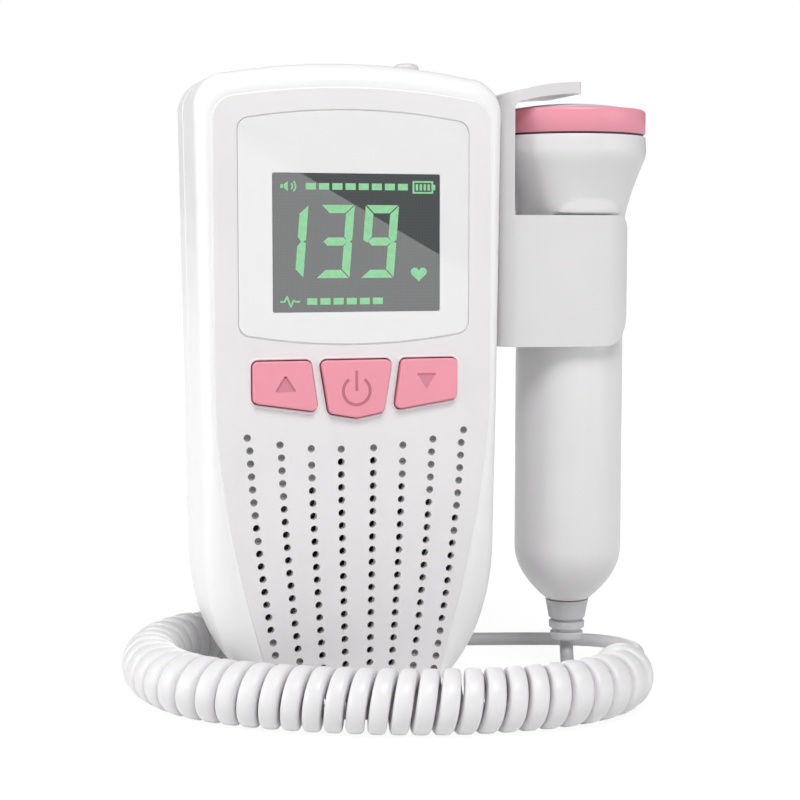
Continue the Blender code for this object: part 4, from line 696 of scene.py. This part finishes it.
def key_outlines():
    side = [(9.9, 73.2), (22.2, 73.2), (22.2, 64.6), (8.35, 62.5)]
    power = [(-7.8, 73.2), (7.8, 73.2), (5.95, 62.1), (0, 61.0), (-5.95, 62.1)]
    return {
        "up": rounded([(-x, z) for x, z in reversed(side)], 1.2),
        "power": rounded(power, [1.2, 1.2, 1.2, 2.5, 1.2]),
        "down": rounded(side, 1.2),
    }


def grille_holes():
    """Places of the fan's holes as (x, z, blind)."""
    start, foot = 54.5, 2.8
    pitch = (start - foot) / 19
    holes = []
    for column, rows in enumerate((18, 18, 19, 20)):
        top_x = 3.55 + column * (6.5 + 0.22 * (column - 1) / 2)
        rise = 3.1 * (column / 3) ** 2
        for row in range(rows):
            down = pitch * row + (0.75 if column == 1 and row else 0)
            drawn = 0.28 * (down / (start - foot)) ** 1.4
            end = row < 1 + 2 * column or row >= rows - 2 * max(column - 1, 0)
            blind = end or (column == 3 and row == 8)
            drift = (0, 0, 0.25, 0.45)[column] * max(1 - row / 13, 0) if row else 0
            for side in (-1, 1):
                x = side * (top_x * (1 - drawn) - drift) + 0.35
                holes.append((x, start + rise - down - 0.1 + 0.005 * x, blind))
    return holes


def shell_rings(body, face):
    """Edge of the face, rounded shoulder, side, parting line, and the inner wall back to the face."""
    rings = [at_level(offset(face, inwards), FRONT + back) for inwards, back in
             ((0.3, 0), (0.17, 0.03), (0.07, 0.12), (0.03, 0.28))]
    for share in (0.0, 0.04, 0.09, 0.15, 0.22, 0.3, 0.39, 0.48, 0.57, 0.66, 0.74, 0.81, 0.87, 0.92, 0.96,
                  0.985, 1.0):
        crown = 0.42 * (1 - math.exp(-share / 0.25)) * (1 - share)
        back = 0.28 + 3.72 * (1 - math.sqrt(max(1 - share * share, 0))) - crown
        rings.append(at_level(blended(body, face, 1 - share), FRONT + back))
    return rings + [
        at_level(body, -4.0), at_level(body, PARTING - 0.25), at_level(offset(body, 0.25), PARTING),
        at_level(offset(body, WALL), PARTING), at_level(offset(body, WALL), FRONT + 5.0),
        at_level(offset(blended(body, face, 0.6), WALL), FRONT + 2.0),
    ]


def grille_cutters(holes):
    """Through holes as prisms, and blind ones as shallow bowls."""
    bowl = [(0, -2), (HOLE_RADIUS, -2), (HOLE_RADIUS, 0.1)]
    bowl += [(0.74, 0.4), (0.6, 0.68), (0.36, 0.86), (0, 0.95)]
    bm = bmesh.new()
    for x, z, blind in holes:
        if blind:
            add_turned(bm, bowl, "Y", (x, FRONT, z), 24)
        else:
            add_prism(bm, circle(x, z, HOLE_RADIUS, 24), FRONT - 2, FRONT + 2.6)
    return bm


def colour_face(mesh, bowls):
    """Gives the flat face and its openings the face's grey, a greyer copy of the case's white that is
    painted shade, and the blind holes a darker grey that is painted shade in their hollows.
    """
    for polygon in mesh.polygons:
        x, y, z = polygon.center * 1000
        y -= FRONT
        inside = abs(x) < face_half_width(z) - 0.9 and 3.5 < z < 127.5
        if y < 0.02 or (inside and y < 0.9 and abs(polygon.normal.y) < 0.5):
            polygon.material_index = 1
        # Blind holes get the darker grey, which is painted shade.
        if 0.02 < y < 1.0 and z < 59 and min(math.hypot(x - a, z - b) for a, b in bowls) < 0.8:
            polygon.material_index = 2


def front_housing():
    """Rounded shoulder, a fine step line and the flat face with its openings."""
    bm = bmesh.new()
    add_rings(bm, shell_rings(body_outline(), face_outline()))
    # The second material, the face's greyer white, is painted shade; the third, the blind holes' grey, is
    # painted shade in their hollows.
    made = piece("housing_front_shell", bm, BODY, FACE_PAINTED_SHADE_WHITE, BLIND_HOLE_PAINTED_SHADE)
    for grow, depth in ((0.3, 0.34), (0.03, 1.25)):
        cut(made, prisms([lens_outline(grow)], FRONT - 2, FRONT + depth))
    openings = [box(-19.5, 81.9, 19.5, 113.9)]
    openings += [offset(outline, -0.26) for outline in key_outlines().values()]
    cut(made, prisms(openings, FRONT - 2, FRONT + 2.5))
    holes = grille_holes()
    cut(made, grille_cutters(holes))
    colour_face(made.data, [(x, z) for x, z, blind in holes if blind])
    own(shade(made, 30, weighted=True), "unit", "white_plastic", "front_housing")


def key_rims():
    """Low rounded rims on the face round the keys' openings."""
    inner, width, height = 0.27, 0.5, 0.16
    bm = bmesh.new()
    for outline in key_outlines().values():
        rings = [at_level(offset(outline, -inner), FRONT + 0.3)]
        for k in range(7):
            angle = math.pi * k / 6
            out = inner + width / 2 * (1 - math.cos(angle))
            rings.append(at_level(offset(outline, -out), FRONT - height * math.sin(angle) + 0.01))
        rings.append(at_level(offset(outline, -inner - width), FRONT + 0.3))
        add_rings(bm, rings, closed=True)
    # The rims take the face's greyer white, which is painted shade.
    own(shade(piece("key_rims", bm, FACE_PAINTED_SHADE_WHITE), 60), "unit", "white_plastic")


def rear_housing():
    edge = 5.8
    body = body_outline()
    rings = [at_level(offset(body, WALL), PARTING + 0.3), at_level(offset(body, 0.25), PARTING + 0.3),
             at_level(body, PARTING + 0.55)]
    rings += [at_level(offset(body, edge * (1 - math.cos(angle))), BACK - edge * (1 - math.sin(angle)))
              for angle in quarter(14)]
    bm = bmesh.new()
    add_rings(bm, rings)
    made = piece("housing_rear_shell", bm, BODY)
    holes = prisms([rounded(box(-15.9, 17.5, 15.9, 73.0), 0.9)], -3.3, BACK + 2)
    for x, z in BOSSES:
        add_prism(holes, circle(x, z, 2.1, 28), 7.5, BACK + 2)
    add_prism(holes, circle(4.0, 10.0, 2.6, 28), 11.0, BACK + 2)
    cut(made, holes)
    own(shade(made, 30, weighted=True), "unit", "white_plastic", "rear_housing")


# Display


def lens():
    """White printed lens with a window, and the dark display under it."""
    left, low, right, high = WINDOW
    edge = 0.05
    made = piece("lens_cover", prisms([lens_outline()], FRONT, FRONT + 1.0), LENS)
    cut(made, prisms([rounded(box(*WINDOW), 0.35, 4)], FRONT - 1, FRONT + 2))
    own(bevel(made, 0.1), "unit", "clear_lens", "display_lens")
    panel = prisms([box(left + edge, low + edge, right - edge, high - edge)], FRONT + edge, FRONT + 1.9)
    own(piece("display_glass", panel, SCREEN), "unit", "lcd_glass", "lcd_panel")


def light_up(bm, corners):
    """Lit area on the display, given in its drawing, which is 730 wide and 610 high."""
    left, low, right, high = WINDOW
    placed = [(left + (right - left) * x / 730, high - (high - low) * y / 610) for x, y in corners]
    add_prism(bm, placed, FRONT + 0.01, FRONT + 0.04)


def light_bar(bm, left, top, width, height):
    light_up(bm, box(left, top, left + width, top + height))


def digit(bm, left, width, segments):
    """Slanted seven-segment digit with thin gaps between its segments."""
    top, low = 138, 460
    middle = (top + low) / 2
    lean, thick, gap = 0.075, 36, 3.5
    inner, half = width - thick, thick / 2
    bar = [(gap, top), (width - gap, top), (inner - gap, top + thick), (thick + gap, top + thick)]
    stem = [(width, top + gap), (width, middle - gap - 4), (width - half, middle - gap + 8),
            (inner, middle - half - gap), (inner, top + thick + gap)]
    waist = [(half + gap, middle), (thick + gap, middle - half), (inner - gap, middle - half),
             (width - half - gap, middle), (inner - gap, middle + half), (thick + gap, middle + half)]
    parts = {
        "a": bar, "b": stem, "f": [(width - x, y) for x, y in stem], "g": waist,
        "c": [(x, top + low - y) for x, y in stem], "d": [(x, top + low - y) for x, y in bar],
    }
    for part in segments:
        light_up(bm, [(left + x + lean * (low - y), y) for x, y in parts[part]])


def battery_sign(bm):
    x, y, width, height, thick = 608, 30, 92, 56, 8
    for level in (y, y + height - thick):
        light_bar(bm, x, level, width, thick)
    for left in (x, x + width - thick):
        light_bar(bm, left, y + thick, thick, height - 2 * thick)
    light_bar(bm, x + width, y + 16, 9, height - 32)
    for k in range(4):
        light_bar(bm, x + 14 + 17.5 * k, y + 14, 11, height - 28)


def loudspeaker_sign(bm):
    light_bar(bm, 34, 50, 12, 16)
    light_up(bm, [(49, 50), (66, 36), (66, 80), (49, 66)])
    for radius in (16, 29):
        light_up(bm, arc(66, 58, radius + 7, -42, 42, 8) + arc(66, 58, radius, 42, -42, 8))


def pulse_sign(bm):
    wave = [(32, 563), (50, 563), (60, 540), (76, 586), (88, 556), (96, 563), (114, 563)]
    for start, end in zip(wave, wave[1:]):
        light_up(bm, thick_line(start, end, 7.2, past=0.4))


def heart_sign(bm):
    angles = [2 * math.pi * k / 40 for k in range(40)]
    light_up(bm, [(636 + 36 * math.sin(a) ** 3, 442 - 2.25 * (
        13 * math.cos(a) - 5 * math.cos(2 * a) - 2 * math.cos(3 * a) - math.cos(4 * a))) for a in angles])


def reading():
    """Three digits, two level bars, a battery and three small signs."""
    bm = bmesh.new()
    digit(bm, -8, 138, "bc")
    digit(bm, 184, 146, "abcdg")
    digit(bm, 378, 146, "abcdfg")
    for first, top, count in ((142, 43, 8), (146, 548, 6)):
        for k in range(count):
            light_bar(bm, first + 57.3 * k, top, 44, 29)
    battery_sign(bm)
    loudspeaker_sign(bm)
    pulse_sign(bm)
    heart_sign(bm)
    own(piece("display_reading", bm, SEGMENT), "unit", "lcd_glass")


# Keys


def key(name, symbol):
    """Rubber key with its sign; the sign's pieces are (corners, material index)."""
    front = FRONT - 1.2
    flange = -11.2
    edge = 0.34
    body = name + "_key"
    outline = key_outlines()[name]
    wider = offset(outline, -0.8)
    rings = [at_level(offset(outline, edge * (1 - math.sin(angle))), front + edge * (1 - math.cos(angle)))
             for angle in quarter(6)]
    rings += [at_level(outline, flange), at_level(wider, flange), at_level(wider, flange + 1)]
    bm = bmesh.new()
    add_rings(bm, rings)
    cap = shade(piece(f"button_{name}_cap", bm, KEY_PINK), 50, weighted=True)
    own(cap, body, "pink_rubber", "button_" + name)
    bm = bmesh.new()
    for corners, material in symbol:
        add_prism(bm, corners, front - 0.03 - 0.01 * (1 - material), front + 0.2, material=material)
    own(piece(f"button_{name}_sign", bm, SYMBOL_PINK, SYMBOL_PALE), body, "pink_rubber")


def keys():
    stroke = 0.5
    tip = (-15.4, 70.05)
    up = [([(-15.4, 70.15), (-13.2, 66.85), (-17.6, 66.85)], 1)]
    up += [(thick_line(tip, (x, 66.95), stroke), 0) for x in (-17.4, -13.4)]
    down = [([(13.2, 70.2), (17.4, 70.2), (15.3, 66.7)], 1)]
    down += [(thick_line((13.25, 69.95), (17.35, 69.95), stroke), 0)]
    outer, inner = [arc(-0.1, 66.75, radius, 125, 415, 40) for radius in (3.25, 2.6)]
    power = [(box(-0.4, 71.0, 0.2, 66.7), 0)]
    power += [([*outer[k:k + 2], *inner[k:k + 2][::-1]], 0) for k in range(40)]
    key("up", up)
    key("down", down)
    key("power", power)


# Probe

PROBE_LINE = ("Z", (PROBE_X, 0, 0))
HANDLE_FOOT = 16.8
FLARE_FOOT = 101.5
HEAD_TOP = 121.2
RING_TOP = 127.0


def probe_profile():
    """Round foot, straight handle, flare and the head's edge."""
    foot, round_height = 4.95, 12.4
    points = []
    for k in range(31):
        share = k / 30
        radius = HANDLE_RADIUS - (HANDLE_RADIUS - foot) * (1 - share) ** 2.1
        points.append((radius, HANDLE_FOOT + round_height * share))
    straight = HANDLE_FOOT + round_height
    dish_foot = 92.0
    points += [(HANDLE_RADIUS, straight + (dish_foot - straight) * k / 20) for k in range(1, 21)]
    points += [(HANDLE_RADIUS, dish_foot + (FLARE_FOOT - dish_foot) * k / 16) for k in range(1, 17)]
    for k in range(1, 29):
        share = 0.9 * k / 28
        points.append((HANDLE_RADIUS + 4.55 * share**1.5, FLARE_FOOT + 14.8 * share))
    curve = list(zip(points[-1], (16.8, 116.8), (16.8, 118.3)))
    for k in range(1, 9):
        t = k / 8
        points.append(tuple(a * (1 - t) ** 2 + 2 * b * t * (1 - t) + c * t * t for a, b, c in curve))
    return points + [(16.7, 119.9), (16.6, 120.9), (16.53, 121.1), (16.3, HEAD_TOP)]


def press_thumb_rest(mesh):
    """Shallow dish in the front of the handle, with a raised lip over it where the flare begins."""
    half_width, half_height, middle = 7.9, 5.8, 101.8
    for vertex in mesh.vertices:
        x, y, z = vertex.co * 1000 - Vector((PROBE_X, 0, 0))
        if y > -7 or math.hypot(x, y) < HANDLE_RADIUS - 0.5:
            continue
        share = eased((1.1 - math.hypot(x / half_width, (z - middle) / half_height)) / 0.22)
        lip = eased((z - 103.6) / 0.9)
        radius = (HANDLE_RADIUS - 0.6) * (1 - lip) + (13.15 - 0.06 * (107.6 - z)) * lip
        pressed = -math.sqrt(max(radius * radius - x * x, 0))
        vertex.co.y = (y + (pressed - y) * share) * MM


def probe_shell():
    wall, bore = 1.8, 3.4
    outer = probe_profile()
    inner = [(max(radius - wall, bore), height + (wall if height < 17 else 0)) for radius, height in outer]
    profile = [(bore, HANDLE_FOOT)] + outer + [(inner[-1][0], HEAD_TOP)] + inner[:-1][::-1]
    made = turned("probe_shell", profile, *PROBE_LINE, PROBE_PAINTED_SHADE_WHITE, 176, closed=True)
    press_thumb_rest(made.data)
    own(shade(made, 50), "probe", "white_plastic", "probe_body")


def probe_band():
    """Pink ring round the face, over the dark joint that shows under it."""
    low, bore, wide, edge = 121.65, 15.2, 16.6, 0.9
    ring = [(bore, low), (wide - 0.2, low), (wide, low + 0.2), (wide, RING_TOP - edge)]
    for angle in quarter(6)[1:]:
        ring.append((wide - 0.8 * (1 - math.cos(angle)), RING_TOP - edge + edge * math.sin(angle)))
    ring += [(bore + 0.1, RING_TOP), (bore, RING_TOP - 0.1)]
    band = turned("probe_band", ring, *PROBE_LINE, RING_PINK, 128, closed=True)
    own(shade(band, 50), "probe", "pink_rubber", "probe_ring")
    joint = turned("probe_seam", box(13.0, 121.15, 16.1, 121.7), *PROBE_LINE, DARK, 96, closed=True)
    own(shade(joint), "probe", "black_plastic")


def probe_dome():
    edge, rise = 15.05, 1.5
    sphere = (edge * edge + rise * rise) / (2 * rise)
    widest = math.asin(edge / sphere)
    dome = [(0, 124.0), (edge, 124.0), (edge, RING_TOP)]
    for k in range(1, 12):
        angle = widest * (1 - k / 12)
        dome.append((sphere * math.sin(angle), RING_TOP + rise - sphere * (1 - math.cos(angle))))
    dome.append((0, RING_TOP + rise))
    made = turned("probe_dome", dome, *PROBE_LINE, PROBE_PAINTED_SHADE_WHITE, 128)
    own(shade(made), "probe", "white_plastic", "probe_face")


def strain_relief():
    profile = [(0, 7.3), (1.7, 7.3), (3.1, 7.3), (3.6, 7.6), (3.74, 8.0), (3.76, 8.85), (3.6, 9.0),
               (3.25, 9.05), (3.2, 9.75), (3.75, 9.85), (4.0, 10.0), (4.05, 11.35), (3.85, 11.5),
               (3.35, 11.55), (3.35, 12.15), (3.95, 12.22), (4.15, 12.4), (4.9, 16.5), (3.2, 16.5),
               (3.2, 18.9), (4.2, 18.9), (4.2, 20.1), (0, 20.1)]
    made = turned("probe_relief", profile, *PROBE_LINE, RELIEF_GREY, 64)
    own(shade(made, 30), "probe", "grey_rubber", "probe_strain_relief")


# Holder

PLATE_INNER, PLATE_OUTER = 33.7, 36.4
PLATE_FRONT, PLATE_REAR = 11.6, 9.6
PLATE_ROUND = 4.5
CLIP_LOW, CLIP_HIGH = 75.1, 103.7
CLIP_WALL = 2.0
CLIP_RADIUS = 14.4


def plate_outline():
    """Plate seen from the front, with the tongue that reaches over the probe's head."""
    foot = CLIP_LOW + 0.06  # a little over the arms' low edge, so that no two faces share a plane
    reach, thick, fillet = 18.3, 2.5, 1.6
    shares = [k / 18 for k in range(19)]
    top = [(PLATE_INNER + reach * share, 129.3 + 3.2 * (1 - (1 - share) ** 2)) for share in shares]
    under = [(x, z - thick) for x, z in top if x > PLATE_OUTER + 1.0]
    x, z = under[0]
    bend = [(PLATE_OUTER + (x - PLATE_OUTER) * (1 - math.cos(angle)), z - fillet * (1 - math.sin(angle)))
            for angle in quarter(5)[:-1]]
    return [(PLATE_INNER, foot)] + top + under[::-1] + bend[::-1] + [(PLATE_OUTER, foot)]


def round_tip(bm, tip, radius):
    """Rounds the tongue's two upright edges."""
    edges = []
    for edge in bm.edges:
        one, other = [vertex.co for vertex in edge.verts]
        if min(one.x, other.x) > tip - 0.01 and abs(one.y - other.y) < 0.01:
            edges.append(edge)
    bmesh.ops.bevel(bm, geom=edges, offset=radius, segments=8, profile=0.5, affect="EDGES")


def corner_cutter():
    """What lies outside the round edges of the plate, next to the case."""
    bm = bmesh.new()
    for side, depth in ((-1, PLATE_FRONT), (1, PLATE_REAR)):
        corner = [(PLATE_INNER - 1, depth + 1), (PLATE_INNER - 1, depth - PLATE_ROUND)]
        corner += arc(PLATE_INNER + PLATE_ROUND, depth - PLATE_ROUND, PLATE_ROUND, 180, 90, 14)
        corner.append((PLATE_INNER + PLATE_ROUND, depth + 1))
        add_prism(bm, [(x, side * y) for x, y in corner], 60, 140, "Z")
    return bm


def holder():
    """Side plate with its tongue, and the web and cradle that carry the clip."""
    outline = plate_outline()
    bm = prisms([outline], -PLATE_FRONT, PLATE_REAR)
    round_tip(bm, max(x for x, z in outline), 2.5)
    made = piece("holder_plate", bm, CLIP_PAINTED_SHADE_WHITE)
    cut(made, corner_cutter())
    own(bevel(shade(made, 40), 0.35, 3, 40, harden=True), "unit", "white_plastic", "probe_holder")
    web = box(PLATE_OUTER - 0.5, -5.0, 40.6, 5.0)
    cradle = arc(PROBE_X, 0, CLIP_RADIUS, 156, 204, 20)
    cradle += arc(PROBE_X, 0, CLIP_RADIUS - CLIP_WALL, 204, 156, 20)
    for name, outline in (("web", web), ("cradle", cradle)):
        made = shade(piece("holder_" + name, prisms([outline], CLIP_LOW, CLIP_HIGH, "Z"), CLIP_PAINTED_SHADE_WHITE))
        own(bevel(made, 0.3, angle=38, harden=True), "unit", "white_plastic")


def corner_drop(along, radius):
    if along <= 0:
        return 0
    return radius - math.sqrt(max(radius * radius - along * along, 0))


def towards(angle):
    return Vector((math.cos(angle), math.sin(angle)))


def clip_arm(name, side, depth):
    """Arm of the clip: round out of the plate's edge, straight, and then round the handle."""
    low_corner, high_corner = 7.0, 3.3
    mouth = math.radians(51)
    root, root_radius = Vector((PLATE_INNER + PLATE_ROUND, depth - PLATE_ROUND)), PLATE_ROUND + 0.03
    centre = Vector((PROBE_X, 0))
    between = centre - root
    rise = math.acos((root_radius - CLIP_RADIUS) / between.length) + math.atan2(between.y, between.x)
    normal = towards(rise)
    straight = (centre + normal * CLIP_RADIUS - root - normal * root_radius).length
    root_run = (math.pi - rise) * root_radius
    run = root_run + straight + CLIP_RADIUS * (rise - mouth)
    plain = run - low_corner
    lengths = [root_run * k / 14 for k in range(14)]
    lengths += [root_run + (plain - root_run) * k / 40 for k in range(40)]
    lengths += [plain + low_corner * math.sin(angle) for angle in quarter(20)]
    rings = []
    for length in lengths:
        if length < root_run:
            out = towards(math.pi - length / root_radius)
            outer = root + out * root_radius
        elif length < root_run + straight:
            out = normal
            outer = root + normal * root_radius + Vector((normal.y, -normal.x)) * (length - root_run)
        else:
            out = towards(rise - (length - root_run - straight) / CLIP_RADIUS)
            outer = centre + out * CLIP_RADIUS
        inner = outer - out * CLIP_WALL
        low = CLIP_LOW + corner_drop(length - plain, low_corner)
        high = CLIP_HIGH - corner_drop(length - run + high_corner, high_corner)
        rings.append([(point.x, side * point.y, z) for point, z in
                      ((inner, low), (outer, low), (outer, high), (inner, high))])
    bm = bmesh.new()
    add_rings(bm, rings)
    made = shade(piece(name + "_band", bm, CLIP_PAINTED_SHADE_WHITE), 50)
    own(bevel(made, 0.42, 4, 50, harden=True), "unit", "white_plastic", name)


# Small pieces


def housing_screw(number, x, z):
    """Pan head with a cross recess over the CAD screw's head."""
    seat, radius, height = 7.8, 1.9, 1.4
    arm, half = 1.1, 0.22
    profile = [(0, 0), (radius, 0)]
    for angle in quarter(8)[:-1]:
        profile.append((radius * math.cos(angle), height * (0.35 + 0.65 * math.sin(angle))))
    profile.append((0, height))
    made = turned(f"housing_screw_{number}_head", profile, "Y", (x, seat, z), STEEL, 40)
    cross = [(arm, half), (half, half), (half, arm)]
    cross += [(-a, b) for a, b in reversed(cross)]
    cross += [(a, -b) for a, b in reversed(cross)]
    cut(made, prisms([[(x + a, z + b) for a, b in cross]], seat + height / 2, seat + 3))
    own(shade(made, 35), "unit", "steel", f"housing_screw_{number}")


def cord_gland():
    profile = [(0, 10.0), (3.5, 10.0), (3.5, 11.2), (2.4, 11.2), (2.4, 13.8), (3.3, 13.8), (3.4, 13.95),
               (3.4, 14.8), (3.2, 15.0), (2.75, 15.05), (2.75, 15.5), (3.1, 15.6), (2.95, 16.4),
               (2.55, 16.5), (2.55, 16.9), (2.75, 17.0), (2.5, 17.9), (2.35, 18.0), (0, 18.0)]
    made = turned("cord_gland_boot", profile, "Y", (4.0, 0, 10.0), RELIEF_GREY, 48)
    own(shade(made, 30), "unit", "grey_rubber", "cord_gland")


def jack_cover():
    """Plug with a low round head on the case's top."""
    seat, head, stem, rise = 134.4, 2.65, 1.55, 0.85
    profile = [(0, seat - 8.0), (stem, seat - 8.0), (stem, seat), (head - 0.05, seat), (head, seat + 0.1)]
    profile.append((head, seat + rise))
    for angle in quarter(8)[1:]:
        profile.append((head * (1 + math.cos(angle)) / 2, seat + rise * (1 + math.sin(angle))))
    profile.append((0, seat + 2 * rise))
    made = turned("jack_cover_plug", profile, "Z", (14.6, -2.25, 0), CLIP_PAINTED_SHADE_WHITE, 48)
    own(shade(made), "jack_cover", "grey_rubber", "headphone_cover")


def battery_door():
    """Panel that is round about its hinge, with three finger grips near its top."""
    pivot_y, pivot_z = 12.5, 18.8
    top, inner, half_width = 72.7, 11.7, 15.6
    outline = [(BACK, top)] + arc(pivot_y, pivot_z, 1.0, 0, -180, 16)
    outline += [(inner, pivot_z + 0.2), (inner, top)]
    door = piece("battery_door_panel", prisms([outline], -half_width, half_width, "X"), BODY)
    lows = [top - 2.1 * (k + 2) for k in range(3)]
    cut(door, prisms([rounded(box(-7, low, 7, low + 0.9), 0.4) for low in lows], BACK - 0.6, BACK + 1))
    own(bevel(door, 0.25, 3), "door", "white_plastic", "battery_door")


def colour_inner_pieces():
    """Materials of the CAD nodes that stay as they are."""
    for material, nodes in {
        DARK: ("lcd_frame", "switch_up", "switch_power", "switch_down", "speaker_frame", "headphone_socket",
               "crystal_backing"),
        BOARD: ("main_board", "probe_board"),
        GRILLE_DARK: ("speaker_cone",),
        FOIL: ("battery_1", "battery_2"),
        CERAMIC: ("crystal_send", "crystal_receive"),
        STEEL: ("speaker_magnet", "contact_bridge", "contact_plus", "contact_minus",
                "contact_spring_low", "contact_spring_high", "holder_screw_1", "holder_screw_2",
                "board_screw_1", "board_screw_2"),
    }.items():
        for node in nodes:
            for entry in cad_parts[node].material_slots:
                entry.material = material


# Floor, lights and world. Places and sizes of the lights are in metres.

WHITE = (1, 1, 1, 1)
LIGHT_AIM = Vector((0.02, 0, 0.06))
LIGHTS = [
    ("key_light", (0.6, 0.4), 8.0, (0.0, -0.6, 0.95)),
    ("side_light", (0.8, 0.8), 7.4, (-1.0, 0.0, 0.3)),
    ("right_fill", (0.5, 0.4), 2.6, (0.85, -0.8, 0.12)),
    ("back_light", (0.6, 0.3), 2.0, (0.3, 1.1, 0.18)),
]


def add_floor():
    """Pale floor that keeps its shadows near the object and is plain white farther out."""
    half = 3000.0
    bm = bmesh.new()
    bm.faces.new([bm.verts.new((x, y, 0)) for x, y in box(-half, -half, half, half)])
    made, shader = new_material("studio_floor")
    rays = add_node(shader, "LightPath", {}).outputs
    seen = math_node(shader, "MAXIMUM", rays["Is Camera Ray"], rays["Is Glossy Ray"])
    away = add_node(shader, "VectorMath", {0: coordinates(shader)}, operation="LENGTH").outputs["Value"]
    share = math_node(shader, "MULTIPLY", seen, value_range(shader, away, 0.87, 1.0, 0.12, 0.3))
    matt = add_node(shader, "BsdfDiffuse", {"Color": (0.85, 0.85, 0.85, 1)}).outputs["BSDF"]
    glow = add_node(shader, "Emission", {"Color": WHITE, "Strength": 1.07}).outputs["Emission"]
    mix = add_node(shader, "MixShader", {"Fac": share, 1: matt, 2: glow}).outputs["Shader"]
    fill(made.node_tree.nodes["Material Output"], {"Surface": mix})
    made.node_tree.nodes.remove(shader)
    piece("floor", bm, made)


def add_world():
    """White to the camera, and a weaker even light for everything else."""
    world = bpy.data.worlds.new("studio")
    bpy.context.scene.world = world
    world.use_nodes = True
    background = world.node_tree.nodes["Background"]
    rays = add_node(background, "LightPath", {}).outputs
    seen = math_node(background, "MAXIMUM", rays["Is Camera Ray"], rays["Is Transmission Ray"])
    fill(background, {"Color": WHITE, "Strength": value_range(background, seen, 0.17, 1.0, 0.0, 1.0)})


def add_glare_card():
    """Bright card whose mirror image lies over the lower left part of the display."""
    far = -600.0
    eye = Vector((CAMERA.x, 2 * FRONT - CAMERA.y, CAMERA.z))
    share = (far - eye.y) / (FRONT - eye.y)
    bm = bmesh.new()
    bm.faces.new([bm.verts.new(eye + (Vector((x, FRONT, z)) - eye) * share) for x, z in (
        (-25.5, 119.7), (-11.7, 112.1), (17.9, 95.6), (25.5, 91.4), (25.5, 76.0), (-25.5, 76.0))])
    made, shader = new_material("card_glow")
    fill(shader, {"Emission Color": WHITE, "Emission Strength": 3.0})
    card = piece("glare_card", bm, made)
    card.visible_camera = False
    card.visible_shadow = False
    card.visible_diffuse = False


def add_light(name, size, power, place):
    data = bpy.data.lights.new(name, "AREA")
    data.shape = "RECTANGLE"
    data.size, data.size_y = size
    data.energy = power
    made = bpy.data.objects.new(name, data)
    made.location = place
    made.rotation_euler = (LIGHT_AIM - made.location).to_track_quat("-Z", "Y").to_euler()
    bpy.context.scene.collection.objects.link(made)


add_camera()
add_cords()
front_housing()
key_rims()
rear_housing()
lens()
reading()
keys()
probe_shell()
probe_band()
probe_dome()
strain_relief()
holder()
clip_arm("clip_arm_front", -1, PLATE_FRONT)
clip_arm("clip_arm_rear", 1, PLATE_REAR)
for number, (x, z) in enumerate(BOSSES, 1):
    housing_screw(number, x, z)
cord_gland()
jack_cover()
battery_door()
colour_inner_pieces()
add_floor()
add_world()
add_glare_card()
for light in LIGHTS:
    add_light(*light)

bpy.context.scene.view_settings.view_transform = "Standard"
